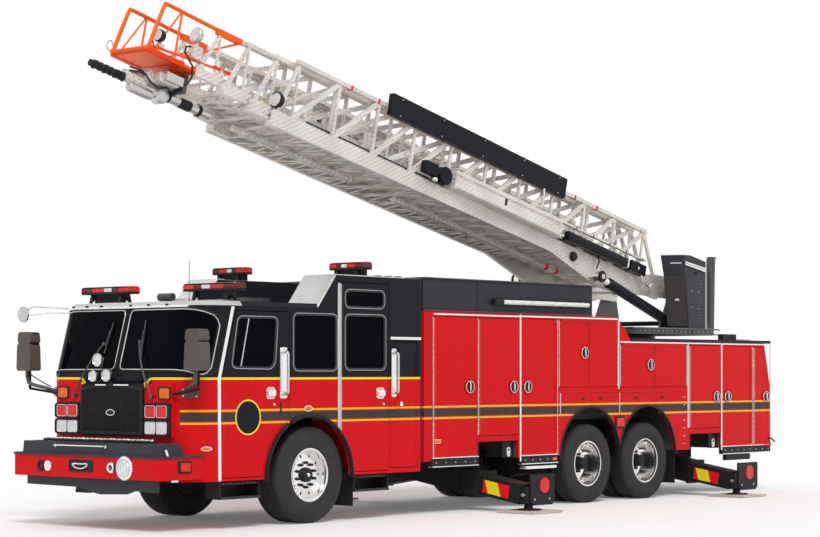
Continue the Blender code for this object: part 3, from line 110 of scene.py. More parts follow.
class Shape:
    """Collects solids into one mesh. slot is the material that the next solids take."""

    def __init__(self, matrix=None):
        self.points, self.faces, self.slots = [], [], []
        self.slot = 0
        self.matrix = matrix or Matrix.Identity(4)

    def on(self, slot):
        self.slot = slot
        return self

    def both(self, place):
        """Sets the matrix for the vehicle's left side and then for its right side."""
        for side in (1, -1):
            self.matrix = flipped(side) @ place
            yield side

    def solid(self, points, faces):
        first = len(self.points)
        flip = self.matrix.determinant() < 0
        self.points += [self.matrix @ Vector(p) for p in points]
        for face in faces:
            indices = [first + i for i in face]
            self.faces.append(indices[::-1] if flip else indices)
            self.slots.append(self.slot)
        return self

    def box(self, x, y, z):
        (x0, x1), (y0, y1), (z0, z1) = sorted(x), sorted(y), sorted(z)
        points = [(px, py, pz) for px in (x0, x1) for py in (y0, y1) for pz in (z0, z1)]
        faces = [(0, 1, 3, 2), (4, 6, 7, 5), (0, 4, 5, 1), (2, 3, 7, 6), (0, 2, 6, 4), (1, 5, 7, 3)]
        return self.solid(points, faces)

    def prism(self, axis, span, outline):
        """Pulls an outline along an axis: (Y, Z) along X, (X, Z) along Y, (X, Y) along Z."""
        low, high = sorted(span)
        if (signed_area(outline) < 0) != (axis == "Y"):
            outline = outline[::-1]
        place = PLACES[axis]
        count = len(outline)
        points = [place(u, v, low) for u, v in outline] + [place(u, v, high) for u, v in outline]
        faces = [tuple(reversed(range(count))), tuple(range(count, 2 * count))]
        faces += [(i, (i + 1) % count, (i + 1) % count + count, i + count) for i in range(count)]
        return self.solid(points, faces)

    def lathe(self, axis, centre, profile, steps=32):
        """Turns (distance along the axis, radius) points about an axis through centre."""
        turn = {"X": lambda a, u, v: (a, u, v), "Y": lambda a, u, v: (v, a, u), "Z": lambda a, u,
                v: (u, v, a)}[axis]
        centre = Vector(centre)
        rings, points, faces = [], [], []
        for along, radius in profile:
            if radius < 1e-6:
                rings.append([len(points)] * steps)
                points.append(centre + Vector(turn(along, 0, 0)))
                continue
            rings.append(list(range(len(points), len(points) + steps)))
            for i in range(steps):
                angle = 2 * pi * i / steps
                points.append(centre + Vector(turn(along, radius * cos(angle), radius * sin(angle))))
        pairs = list(zip(rings, rings[1:]))
        if rings[0][0] != rings[0][1] and rings[-1][0] != rings[-1][1]:
            pairs.append((rings[-1], rings[0]))
        for a, b in pairs:
            for i in range(steps):
                j = (i + 1) % steps
                face = list(dict.fromkeys((a[i], b[i], b[j], a[j])))
                if len(face) > 2:
                    faces.append(face)
        return self.solid(points, faces)

    def drum(self, axis, centre, radius, span, steps=24):
        low, high = sorted(span)
        return self.lathe(axis, centre, [(high, 0), (high, radius), (low, radius), (low, 0)], steps)

    def tube(self, path, radius, sides=10, closed=False):
        """A round bar along a line of points."""
        path = [Vector(p) for p in path]
        count = len(path)
        points, faces = [], []
        normal = None
        for i, p in enumerate(path):
            before = path[i - 1] if i or closed else p
            after = path[(i + 1) % count] if i < count - 1 or closed else p
            way = (after - before).normalized()
            if normal is None:
                normal = way.orthogonal().normalized()
            normal = (normal - way * normal.dot(way)).normalized()
            across = way.cross(normal)
            for k in range(sides):
                angle = 2 * pi * k / sides
                points.append(p + radius * (normal * cos(angle) + across * sin(angle)))
        for i in range(count if closed else count - 1):
            a, b = i * sides, (i + 1) % count * sides
            for k in range(sides):
                n = (k + 1) % sides
                faces.append((a + k, a + n, b + n, b + k))
        if not closed:
            faces.append(tuple(reversed(range(sides))))
            faces.append(tuple(range((count - 1) * sides, count * sides)))
        return self.solid(points, faces)

    def ball(self, centre, radii, steps=16, rings=8):
        profile = []
        for i in range(rings + 1):
            angle = pi * i / rings
            profile.append((cos(angle), sin(angle) if 0 < i < rings else 0))
        keep = self.matrix
        self.matrix = keep @ Matrix.Translation(centre) @ Matrix.Diagonal((*radii, 1))
        self.lathe("Z", (0, 0, 0), profile, steps)
        self.matrix = keep
        return self

    def loft(self, rings):
        """Joins rings of points, one after the other, and closes both ends."""
        count = len(rings[0])
        faces = [tuple(reversed(range(count))), tuple(range((len(rings) - 1) * count, len(rings) * count))]
        for k in range(len(rings) - 1):
            for i in range(count):
                j = (i + 1) % count
                faces.append((k * count + i, k * count + j, (k + 1) * count + j, (k + 1) * count + i))
        return self.solid([p for ring in rings for p in ring], faces)

    def mirrored(self):
        """Adds the same solids on the other side of the vehicle."""
        count = len(self.points)
        self.points += [Vector((-p.x, p.y, p.z)) for p in self.points]
        self.faces += [[i + count for i in reversed(face)] for face in self.faces]
        self.slots += self.slots
        return self


def arc(centre, radius, start, end, steps):
    """Points on a round stretch, from one angle in degrees to another."""
    angles = [radians(start + (end - start) * i / steps) for i in range(steps + 1)]
    return [(centre[0] + radius * cos(t), centre[1] + radius * sin(t)) for t in angles]


def circle(centre, radius, steps):
    return arc(centre, radius, 0, 360 * (steps - 1) / steps, steps - 1)


def about(middle_at, half):
    return (middle_at - half, middle_at + half)


def oblong(u, v):
    return [(u[0], v[0]), (u[1], v[0]), (u[1], v[1]), (u[0], v[1])]


def band(centre, outer, inner, start, end, steps):
    """An arched strip between two radii."""
    return arc(centre, outer, start, end, steps) + arc(centre, inner, end, start, steps)


def spread(low, high, count):
    """Places that share a stretch evenly, both ends among them."""
    return [low + (high - low) * i / (count - 1) for i in range(count)]


def turns(count):
    """Angles, in radians, that share a full turn evenly."""
    return [2 * pi * i / count for i in range(count)]


def ellipse(centre, half_u, half_v, steps):
    return [(centre[0] + half_u * cos(t), centre[1] + half_v * sin(t)) for t in turns(steps)]


def rounded(u, v, radius, steps=4):
    """A rectangle with rounded corners."""
    (u0, u1), (v0, v1) = u, v
    corners = ((u1 - radius, v1 - radius, 0), (u0 + radius, v1 - radius, 90),
               (u0 + radius, v0 + radius, 180), (u1 - radius, v0 + radius, 270))
    return [p for cu, cv, start in corners for p in arc((cu, cv), radius, start, start + 90, steps)]


def grown(outline, amount):
    """An outline with every edge moved outwards by amount."""
    sign = 1 if signed_area(outline) > 0 else -1
    made = []
    for before, here, after in zip(outline[-1:] + outline[:-1], outline, outline[1:] + outline[:1]):
        ways = [Vector((b[0] - a[0], b[1] - a[1])).normalized() for a, b in ((before, here), (here, after))]
        normals = [Vector((w.y, -w.x)) * sign for w in ways]
        bisector = normals[0] + normals[1]
        share = amount / max(0.35, bisector.length_squared / 2)
        made.append((here[0] + bisector.x * share, here[1] + bisector.y * share))
    return made


def soften(outline, radius, steps=4):
    """An outline with its corners rounded."""
    made = []
    for before, here, after in zip(outline[-1:] + outline[:-1], outline, outline[1:] + outline[:1]):
        here = Vector(here)
        back, on = Vector(before) - here, Vector(after) - here
        reach = min(radius, back.length * 0.45, on.length * 0.45)
        first, last = here + back.normalized() * reach, here + on.normalized() * reach
        for i in range(steps + 1):
            t = i / steps
            made.append(tuple(first * (1 - t) ** 2 + here * 2 * t * (1 - t) + last * t ** 2))
    return made


def rim_faces(shape, axis, span, outline, width):
    """A frame of the given width round an outline, growing outwards."""
    outer = grown(outline, width)
    low, high = sorted(span)
    place = PLACES[axis]
    if (signed_area(outline) < 0) != (axis == "Y"):
        outline, outer = outline[::-1], outer[::-1]
    n = len(outline)
    points = [place(u, v, w) for w in (low, high) for ring in (outline, outer) for u, v in ring]
    faces = []
    for i in range(n):
        j = (i + 1) % n
        faces += [(i, j, j + n, i + n), (i + 2 * n, i + 3 * n, j + 3 * n, j + 2 * n),
                  (i, i + 2 * n, j + 2 * n, j), (i + n, j + n, j + 3 * n, i + 3 * n)]
    return shape.solid(points, faces)


def linked(name, data):
    """A new object, put in the scene."""
    thing = bpy.data.objects.new(name, data)
    bpy.context.scene.collection.objects.link(thing)
    return thing


def piece(name, body, shape, paints, bevel=0.0, smooth=35.0, segments=2):
    """Makes a piece from a shape, puts it in the row frame and lets it ride on a body.

    paints names the paints of its slots, in order.
    """
    mesh = bpy.data.meshes.new(name)
    mesh.from_pydata([tuple(p) for p in shape.points], [], shape.faces)
    mesh.transform(TO_ROW)
    for paint in paints.split():
        mesh.materials.append(PAINTS[paint])
    for polygon, slot in zip(mesh.polygons, shape.slots):
        polygon.material_index = slot
    edit = bmesh.new()
    edit.from_mesh(mesh)
    bmesh.ops.recalc_face_normals(edit, faces=edit.faces)
    edit.to_mesh(mesh)
    edit.free()
    thing = linked(name, mesh)
    shade(thing, bevel, smooth, segments)
    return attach(thing, body)


def on_skin(shape, low, high, outline):
    """A plate on the body's side, from low to high off its skin."""
    shape.prism("X", (SIDE + low, SIDE + high), outline)


def sided(name, node, build, paints, bevel=0.0):
    """Builds the same piece for both sides. node is the body's name with {} for the side, or None."""
    for label, side in SIDES:
        shape = Shape(flipped(side))
        build(shape)
        piece(f"{name}_{label}", node.format(label) if node else ROOT, shape, paints, bevel)


def shade(thing, bevel, smooth, segments=2):
    """Rounds the edges a little, and shades smoothly across what isn't sharp."""
    mesh = thing.data
    mesh.polygons.foreach_set("use_smooth", [True] * len(mesh.polygons))
    if bevel:
        rounding = thing.modifiers.new("rounding", "BEVEL")
        rounding.width = bevel
        rounding.segments = segments
        rounding.limit_method = "ANGLE"
        rounding.angle_limit = radians(smooth)
        rounding.harden_normals = True
    else:
        mesh.set_sharp_from_angle(angle=radians(smooth))


# Materials

class Finish:
    """Builds one material's nodes round a Principled shader."""

    def __init__(self, name, **values):
        self.material = bpy.data.materials.new(name)
        self.material.use_nodes = True
        self.tree = self.material.node_tree
        self.tree.nodes.clear()
        self.shader = self.node("ShaderNodeBsdfPrincipled")
        output = self.node("ShaderNodeOutputMaterial")
        self.link(self.shader.outputs[0], output.inputs["Surface"])
        for key, value in values.items():
            self.shader.inputs[key.replace("_", " ")].default_value = value
        self.place = self.node("ShaderNodeTexCoord").outputs["Object"]
        parts = self.node("ShaderNodeSeparateXYZ")
        self.link(self.place, parts.inputs[0])
        self.x, self.y, self.z = parts.outputs

    def node(self, kind, **settings):
        made = self.tree.nodes.new(kind)
        for key, value in settings.items():
            setattr(made, key, value)
        return made

    def link(self, source, target):
        if isinstance(source, (int, float, tuple)):
            target.default_value = source
        else:
            self.tree.links.new(source, target)

    def math(self, operation, *values):
        made = self.node("ShaderNodeMath", operation=operation)
        for value, socket in zip(values, made.inputs):
            self.link(value, socket)
        return made.outputs[0]

    def times(self, first, second):
        return self.math("MULTIPLY", first, second)

    def over(self, value, limit):
        return self.math("GREATER_THAN", value, limit)

    def under(self, value, limit):
        return self.math("LESS_THAN", value, limit)

    def waves(self, value, pitch):
        return self.math("SINE", self.times(value, pitch))

    def between(self, value, low, high):
        """1 where value lies between low and high."""
        return self.times(self.over(value, low), self.under(value, high))

    def mix(self, factor, first, second):
        made = self.node("ShaderNodeMix", data_type="RGBA")
        self.link(factor, made.inputs[0])
        self.link(first if not isinstance(first, tuple) else (*first, 1)[:4], made.inputs[6])
        self.link(second if not isinstance(second, tuple) else (*second, 1)[:4], made.inputs[7])
        return made.outputs[2]

    def noise(self, scale, detail=3.0, stretch=(1, 1, 1), roughness=0.5):
        mapping = self.node("ShaderNodeMapping")
        self.link(self.place, mapping.inputs[0])
        mapping.inputs["Scale"].default_value = stretch
        made = self.node("ShaderNodeTexNoise")
        self.link(mapping.outputs[0], made.inputs["Vector"])
        made.inputs["Scale"].default_value = scale
        made.inputs["Detail"].default_value = detail
        made.inputs["Roughness"].default_value = roughness
        return made.outputs[0]

    def ranged(self, value, low, high, from_low=0.3, from_high=0.7):
        made = self.node("ShaderNodeMapRange")
        self.link(value, made.inputs["Value"])
        for key, number in (("From Min", from_low), ("From Max", from_high), ("To Min", low),
                            ("To Max", high)):
            made.inputs[key].default_value = number
        return made.outputs[0]

    def colour(self, base, vary=0.12, scale=1.7):
        """Base colour with slow patches that are a little darker, and finer dust."""
        slow = self.ranged(self.noise(scale), 1 - vary, 1 + vary * 0.4)
        fine = self.ranged(self.noise(scale * 23, 2), 1 - vary * 0.3, 1 + vary * 0.3)
        shade_of = self.times(slow, fine)
        made = self.node("ShaderNodeMix", data_type="RGBA", blend_type="MULTIPLY")
        made.inputs[0].default_value = 1.0
        self.link((*base, 1) if isinstance(base, tuple) else base, made.inputs[6])
        grey = self.node("ShaderNodeCombineColor")
        for socket in grey.inputs[:3]:
            self.link(shade_of, socket)
        self.link(grey.outputs[0], made.inputs[7])
        self.link(made.outputs[2], self.shader.inputs["Base Color"])
        return self

    def rough(self, low, high, scale=6.0, stretch=(1, 1, 1)):
        self.link(self.ranged(self.noise(scale, 4, stretch), low, high), self.shader.inputs["Roughness"])
        return self

    def bump(self, height, strength, distance=0.001):
        made = self.node("ShaderNodeBump")
        made.inputs["Strength"].default_value = strength
        made.inputs["Distance"].default_value = distance
        self.link(height, made.inputs["Height"])
        self.link(made.outputs[0], self.shader.inputs["Normal"])
        return self

    def done(self):
        return self.material


PAINT_SHINE = 0.08      # low, as the studio round the vehicle is white
RED = (0.7, 0.007, 0.011)
YELLOW = (0.9, 0.56, 0.03)
BELT_YELLOW = (0.95, 0.78, 0.02)
BAND_GREY = (0.06, 0.05, 0.047)
GLOSS_BLACK = (0.012, 0.014, 0.018)
BOX_GREY = (0.04, 0.041, 0.05)
ORANGE = (1, 0.13, 0.008)
CAB_BAND_Y = -1.885     # the grey band stops behind this
COWL_HALF = 0.6
REAR_WALL_Y = 9.885


def rear_face(made, paint):
    """Red and yellow chevrons, a grey shutter and two lamps a side on the plain rear wall."""
    beyond = made.over(made.y, AXLE_Y + REAR_WALL_Y)
    slant = made.math("ADD", made.math("ABSOLUTE", made.x), made.z)
    turn = made.math("FRACT", made.math("DIVIDE", slant, 0.3))
    chevrons = made.mix(made.over(turn, 0.5), RED, BELT_YELLOW)
    door = made.times(made.under(made.math("ABSOLUTE", made.x), 0.47), made.between(made.z, 0.95, 2.06))
    slats = made.math("FRACT", made.math("DIVIDE", made.z, 0.05))
    shutter = made.mix(made.over(slats, 0.12), (0.03, 0.03, 0.03), (0.3, 0.3, 0.3))
    lower = made.times(beyond, made.under(made.z, 2.1))
    paint = made.mix(lower, paint, chevrons)
    paint = made.mix(made.times(beyond, door), paint, shutter)
    for z in (1.98, 1.84):
        light = made.times(made.between(made.math("ABSOLUTE", made.x), 0.98, 1.18),
                           made.between(made.z, z - 0.055, z + 0.055))
        paint = made.mix(made.times(beyond, light), paint, (0.3, 0.006, 0.008))
    return paint


def livery(name, on_cab):
    """Red paint with the two yellow lines and the grey band, and the black upper part of cab or body."""
    made = Finish(name, Specular_IOR_Level=PAINT_SHINE)
    low, high = STRIPES_Z
    paint = RED
    for z in STRIPES_Z:
        paint = made.mix(made.between(made.z, z - STRIPE_HALF, z + STRIPE_HALF), paint, YELLOW)
    between_lines = made.between(made.z, low + STRIPE_HALF + STRIPE_GAP, high - STRIPE_HALF - STRIPE_GAP)
    paint = made.mix(between_lines, paint, BAND_GREY)
    if on_cab:
        nose = made.under(made.y, AXLE_Y + CAB_BAND_Y)
        cowl = made.times(nose, made.under(made.math("ABSOLUTE", made.x), COWL_HALF))
        below = made.mix(nose, paint, RED)
        paint = made.mix(made.over(made.z, BELT_Z), below, GLOSS_BLACK)
        paint = made.mix(made.between(made.z, BELT_Z - BELT_HALF, BELT_Z + BELT_HALF), paint, BELT_YELLOW)
        paint = made.mix(made.times(cowl, made.over(made.z, 1.5)), paint, GLOSS_BLACK)
        visor = made.times(made.between(made.z, 2.488, 2.56), made.under(made.y, AXLE_Y - 1.15))
        paint = made.mix(visor, paint, (0.55, 0.55, 0.55))
    else:
        paint = made.mix(made.over(made.z, BODY_HIGH_Z + 0.004), paint, BOX_GREY)
        inner = made.under(made.math("ABSOLUTE", made.x), HALF_WIDTH - 0.045)
        paint = made.mix(inner, paint, (0.1, 0.1, 0.105))
        paint = rear_face(made, paint)
    made.colour(paint, 0.06, 0.9)
    made.rough(0.22, 0.34)
    made.bump(made.noise(140, 2), 0.03, 0.0006)
    return made.done()


def nose_paint():
    """Red panel of the cab's front, with its black grille and lamp housings."""
    made = Finish("nose_paint", Specular_IOR_Level=PAINT_SHINE)
    panel = made.times(made.over(made.y, AXLE_Y - 1.9475),
                       made.between(made.math("ABSOLUTE", made.x), 0.522, 0.97))
    made.colour(made.mix(panel, (0.018, 0.018, 0.019), RED), 0.1, 3).rough(0.3, 0.45)
    made.bump(made.noise(200, 2), 0.06, 0.0006)
    return made.done()


def metal(name, colour, low, high, stretch=(1, 1, 1), metallic=1.0, vary=0.12, bump=0.08, scale=30):
    made = Finish(name, Metallic=metallic)
    made.colour(colour, vary, 2.5).rough(low, high, scale, stretch)
    made.bump(made.noise(scale * 4, 3, stretch), bump, 0.0006)
    return made.done()


def plastic(name, colour, low=0.35, high=0.5, bump=0.15, scale=260, vary=0.18, shine=0.2):
    made = Finish(name, Specular_IOR_Level=shine)
    made.colour(colour, vary, 2.2).rough(low, high, 12)
    made.bump(made.noise(scale, 2), bump, 0.0008)
    return made.done()


def lens(name, colour, glow=0.0, clear=False):
    """A lamp's glass over its ribbed reflector."""
    made = Finish(name, Specular_IOR_Level=0.2, Coat_Weight=1.0 if clear else 0.12, Coat_Roughness=0.05,
                  Metallic=0.35 if clear else 0)
    made.colour(colour, 0.25, 30).rough(0.08, 0.2, 40)
    ribs = made.waves(made.math("ADD", made.x, made.y), 520)
    made.bump(ribs, 0.5, 0.0015)
    if glow:
        made.shader.inputs["Emission Color"].default_value = (*colour, 1)
        made.shader.inputs["Emission Strength"].default_value = glow
    return made.done()


def tread_plate(name, colour):
    """Aluminium chequer plate with raised lozenges."""
    made = Finish(name, Metallic=0.9)
    made.colour(colour, 0.2, 3).rough(0.25, 0.42, 25)
    both = made.math("ADD", made.x, made.y)
    other = made.math("SUBTRACT", made.x, made.y)
    pitch = 2 * pi / 0.055
    lozenges = made.times(made.waves(both, pitch), made.waves(other, pitch * 3))
    made.bump(made.math("MAXIMUM", lozenges, 0.25), 0.8, 0.003)
    return made.done()


def rubber(name, colour):
    made = Finish(name, Specular_IOR_Level=0.35)
    made.colour(colour, 0.3, 4).rough(0.6, 0.85, 20)
    made.bump(made.noise(320, 3), 0.25, 0.001)
    return made.done()


def ladder_metal(name, colour):
    """Pale ladder metal with the rows of small dimples pressed into its rails."""
    made = Finish(name, Metallic=0.4)
    made.colour(colour, 0.16, 2.5).rough(0.34, 0.52, 40)
    sine, cosine = sin(LADDER_TILT), cos(LADDER_TILT)
    along = made.math("SUBTRACT", made.times(made.y, cosine), made.times(made.z, sine))
    across = made.math("ADD", made.times(made.y, sine), made.times(made.z, cosine))
    pits = made.times(made.waves(along, 2 * pi / 0.085), made.waves(across, 2 * pi / 0.06))
    made.bump(made.math("MAXIMUM", pits, 0.15), 0.9, 0.01)
    return made.done()


PAINTS = {
    "cab": livery("cab_paint", True),
    "body": livery("body_paint", False),
    "red": plastic("red_paint", RED, 0.22, 0.34, 0.03, 140, 0.06, PAINT_SHINE),
    "black": plastic("gloss_black", GLOSS_BLACK, 0.15, 0.3, 0.04, 140, 0.1, PAINT_SHINE),
    "grey": plastic("box_grey", BOX_GREY, 0.38, 0.55, 0.25, 420),
    "frame": plastic("frame_black", (0.016, 0.016, 0.018), 0.4, 0.62, 0.2, 90, 0.3),
    "trim": plastic("black_plastic", (0.02, 0.02, 0.021), 0.45, 0.65, 0.2, 400),
    "ladder": ladder_metal("ladder_metal", (0.78, 0.735, 0.69)),
    "pad": plastic("pad_board", (0.62, 0.58, 0.53), 0.5, 0.7, 0.3, 60, 0.2),
    "alloy": metal("polished_alloy", (0.86, 0.85, 0.84), 0.12, 0.26, (1, 1, 1), 1, 0.08, 0.05, 40),
    "steel": metal("brushed_steel", (0.62, 0.61, 0.6), 0.25, 0.42, (1, 1, 12), 1, 0.15, 0.1, 40),
    "bright": metal("bright_strip", (0.9, 0.9, 0.89), 0.2, 0.34, (1, 1, 1), 0.75, 0.06, 0.05, 60),
    "dark_steel": metal("dark_steel", (0.1, 0.1, 0.105), 0.35, 0.55, (1, 1, 1), 0.7, 0.25, 0.2, 50),
    "tread": tread_plate("tread_plate", (0.62, 0.62, 0.62)),
    "tyre": rubber("tyre_rubber", (0.03, 0.028, 0.028)),
    "seal": rubber("rubber_seal", (0.012, 0.012, 0.012)),
    "glass": plastic("dark_glass", (0.002, 0.0025, 0.004), 0.03, 0.06, 0.01, 20, 0.15, 0.02),
    "nose": nose_paint(),
    "clear": lens("clear_lens", (0.8, 0.81, 0.83), 0, True),
    "white_lens": lens("white_lens", (0.92, 0.92, 0.9)),
    # red_lens glows faintly. It also covers the reflective marks, the pipe's red bands and the outrigger
    # reflectors, which are no lamps, and on them the glow is painted light.
    "red_lens": lens("red_lens", (0.75, 0.01, 0.012), 0.1),
    "dark_red_lens": lens("dark_red_lens", (0.16, 0.004, 0.006)),
    "mirror_case": plastic("mirror_case", (0.105, 0.088, 0.078), 0.4, 0.55, 0.2, 500, 0.1, 0.25),
    "amber_lens": lens("amber_lens", (0.9, 0.16, 0.006), 0.05),
    "orange": plastic("orange_paint", ORANGE, 0.3, 0.45, 0.05, 140, 0.1),
    "console_door": plastic("console_door", (0.048, 0.043, 0.041), 0.42, 0.55, 0.3, 500),
    "post_grey": plastic("post_grey", (0.13, 0.12, 0.115), 0.45, 0.6, 0.25, 120),
    "red_tape": plastic("red_tape", (0.8, 0.012, 0.014), 0.3, 0.45, 0.2, 500, 0.06),
    "yellow_patch": plastic("yellow_patch", (0.95, 0.8, 0.02), 0.3, 0.45, 0.2, 500, 0.06),
    "orange_red": plastic("orange_red_paint", (0.9, 0.045, 0.006), 0.3, 0.45, 0.05, 140, 0.1),
    "yellow": plastic("yellow_tape", BELT_YELLOW, 0.35, 0.5, 0.05, 200, 0.08),
}

NODE_PAINTS = {
    "cab_shell": "cab", "body_shell": "body", "bumper": "red", "cab_front": "nose", "windscreen": "glass",
    "chassis_frame": "frame", "engine_block": "dark_steel", "front_axle": "frame", "rear_axles": "frame",
    "turntable": "dark_steel", "console": "grey", "lift_barrels": "black",
}
BODY_OF = {name: thing["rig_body"] for name, thing in frame["nodes"].items()}


def paint_for(name):
    if name in NODE_PAINTS:
        return NODE_PAINTS[name]
    if name.startswith(("front_door", "crew_door", "cab_locker")):
        return "cab"
    if name.startswith("locker"):
        return "body"
    if "section" in name:
        return "ladder"
    if "wheel" in name:
        return "tyre"
    return "alloy" if name.startswith("lift_rod") else "frame"


def dress_nodes():
    """Gives each node of the frame its material, welded facets and slightly rounded edges."""
    for name, thing in frame["nodes"].items():
        mesh = thing.data
        if "custom_normal" in mesh.attributes:
            mesh.attributes.remove(mesh.attributes["custom_normal"])
        mesh.materials.clear()
        mesh.materials.append(PAINTS[paint_for(name)])
        weld = thing.modifiers.new("weld", "WELD")
        weld.merge_threshold = 0.00005
        flat = thing.modifiers.new("flat", "DECIMATE")
        flat.decimate_type = "DISSOLVE"
        flat.angle_limit = radians(1)
        flat.delimit = {"MATERIAL"}
        shade(thing, 0.003, 28)


def second_paint(name, paint, rule):
    """Gives the faces of a node that a rule picks by their place a second material."""
    mesh = frame["nodes"][name].data
    mesh.materials.append(PAINTS[paint])
    last = len(mesh.materials) - 1
    for polygon in mesh.polygons:
        place = polygon.center.copy()
        place.y -= AXLE_Y
        if rule(place):
            polygon.material_index = last


dress_nodes()


# Camera, floor and light

# where the photo was taken from, level and beside the front left corner
CAMERA_X, CAMERA_Y, CAMERA_Z = 18.825, -18.477, 1.7456
CAMERA_TURN = radians(40.887)
CAMERA_LENS = 96.98
CAMERA_SHIFT = (-0.0083, 0.1266)
SOFT_LIGHT = 0.52       # what the surroundings give to surfaces; rays that see them find plain white
FLOOR_HALF = 250
FLOOR_GLOW = 0.12


def camera():
    data = bpy.data.cameras.new("camera")
    data.sensor_width = 36
    data.lens = CAMERA_LENS
    data.shift_x, data.shift_y = CAMERA_SHIFT
    data.clip_end = 2 * FLOOR_HALF
    thing = linked("camera", data)
    thing.location = (CAMERA_X, AXLE_Y + CAMERA_Y, CAMERA_Z)
    thing.rotation_euler = (pi / 2, 0, CAMERA_TURN)
    bpy.context.scene.camera = thing


def fresh_tree(block):
    """The empty node tree of a material or world."""
    block.use_nodes = True
    block.node_tree.nodes.clear()
    return block.node_tree


def seen_by(tree):
    """1 for rays that see a surface directly, in gloss or through glass."""
    path = tree.nodes.new("ShaderNodeLightPath")
    total = path.outputs["Is Camera Ray"]
    for name in ("Is Glossy Ray", "Is Transmission Ray"):
        add = tree.nodes.new("ShaderNodeMath")
        add.operation = "MAXIMUM"
        tree.links.new(total, add.inputs[0])
        tree.links.new(path.outputs[name], add.inputs[1])
        total = add.outputs[0]
    return total


def world():
    made = bpy.data.worlds.new("studio")
    tree = fresh_tree(made)
    output = tree.nodes.new("ShaderNodeOutputWorld")
    mix = tree.nodes.new("ShaderNodeMixShader")
    tree.links.new(seen_by(tree), mix.inputs[0])
    for strength, socket in ((SOFT_LIGHT, mix.inputs[1]), (1, mix.inputs[2])):
        shade_of = tree.nodes.new("ShaderNodeBackground")
        shade_of.inputs[0].default_value = (1, 1, 1, 1)
        shade_of.inputs[1].default_value = strength
        tree.links.new(shade_of.outputs[0], socket)
    tree.links.new(mix.outputs[0], output.inputs[0])
    bpy.context.scene.world = made


def floor():
    made = bpy.data.materials.new("floor")
    tree = fresh_tree(made)
    output = tree.nodes.new("ShaderNodeOutputMaterial")
    paint = tree.nodes.new("ShaderNodeBsdfDiffuse")
    grain = tree.nodes.new("ShaderNodeTexNoise")
    grain.inputs["Scale"].default_value = 3.0
    tint = tree.nodes.new("ShaderNodeMix")
    tint.data_type = "RGBA"
    tint.inputs[6].default_value = (0.86, 0.86, 0.86, 1)
    tint.inputs[7].default_value = (0.89, 0.89, 0.89, 1)
    tree.links.new(grain.outputs[0], tint.inputs[0])
    tree.links.new(tint.outputs[2], paint.inputs[0])
    glow = tree.nodes.new("ShaderNodeEmission")
    glow.inputs[0].default_value = (1, 1, 1, 1)
    lift = tree.nodes.new("ShaderNodeMath")
    lift.operation = "MULTIPLY"
    lift.inputs[1].default_value = FLOOR_GLOW
    tree.links.new(seen_by(tree), lift.inputs[0])
    tree.links.new(lift.outputs[0], glow.inputs[1])
    add = tree.nodes.new("ShaderNodeAddShader")
    tree.links.new(paint.outputs[0], add.inputs[0])
    tree.links.new(glow.outputs[0], add.inputs[1])
    tree.links.new(add.outputs[0], output.inputs[0])
    mesh = bpy.data.meshes.new("floor")
    ends = (-FLOOR_HALF, FLOOR_HALF)
    mesh.from_pydata([(x, y, 0) for x, y in oblong(ends, ends)], [], [(0, 1, 2, 3)])
    mesh.materials.append(made)
    linked("floor", mesh)


def lamp(name, place, strength, angle):
    data = bpy.data.lights.new(name, "SUN")
    data.energy = strength
    data.angle = radians(angle)
    linked(name, data).rotation_euler = (-Vector(place)).to_track_quat("-Z", "Y").to_euler()


camera()
world()
floor()
lamp("key", (6, -5, 9), 1.75, 20)
lamp("fill", (-6, 4, 6), 0.35, 60)

scene = bpy.context.scene
scene.view_settings.view_transform = "Standard"


# Wheels

FRONT_R, REAR_R = 0.56, 0.525


def tyre_profile(low, high, radius, rim, grooves):
    """Half round sidewalls, raised bead lines, a shoulder and a grooved tread, from bead to bead."""
    side = [(0.03, rim), (0.014, rim + 0.012), (0.01, rim + 0.035), (0.004, rim + 0.06), (0, rim + 0.105),
            (0.002, rim + 0.14), (0.005, rim + 0.147), (0.005, radius - 0.075), (0.014, radius - 0.04),
            (0.022, radius - 0.033), (0.03, radius - 0.01), (0.042, radius - 0.002)]
    tread = []
    width = high - low - 0.1
    for i in range(grooves):
        middle_x = low + 0.05 + width * (i + 1) / (grooves + 1)
        tread += [(middle_x - 0.009, radius), (middle_x - 0.006, radius - 0.014),
                  (middle_x + 0.006, radius - 0.014), (middle_x + 0.009, radius)]
    return ([(low + a, r) for a,
             r in side] + tread + [(high - a, r) for a,
                                   r in reversed(side)] + [(high - 0.045, rim - 0.02),
                                                           (low + 0.045, rim - 0.02)])


def lugs(shape, y, low, high, radius, count):
    """Cross bars at both shoulders of a driving tyre."""
    keep = shape.matrix
    for i in range(count):
        turn = Matrix.Rotation(2 * pi * i / count, 4, "X")
        shape.matrix = keep @ Matrix.Translation((0, y, radius)) @ turn
        half = pi * radius / count * 0.55
        for edge, way in ((low, 1), (high, -1)):
            shape.prism("Y", (-half, half), [
                (edge + way * 0.016, radius - 0.05), (edge + way * 0.02, radius - 0.012),
                (edge + way * 0.036, radius - 0.0005), (edge + way * 0.075, radius - 0.0005),
                (edge + way * 0.075, radius - 0.02), (edge + way * 0.05, radius - 0.05)])
    shape.matrix = keep


def wheel_nuts(shape, x, y, z, ring, count, length):
    radius = 0.017
    for turn in turns(count):
        angle = turn + pi / count
        centre = (0, y + ring * cos(angle), z + ring * sin(angle))
        shape.lathe("X", centre,
                    [(x + length, 0), (x + length, radius * 0.75), (x + length * 0.7, radius),
                     (x + 0.004, radius), (x, radius * 1.25), (x - 0.005, 0)], 6)


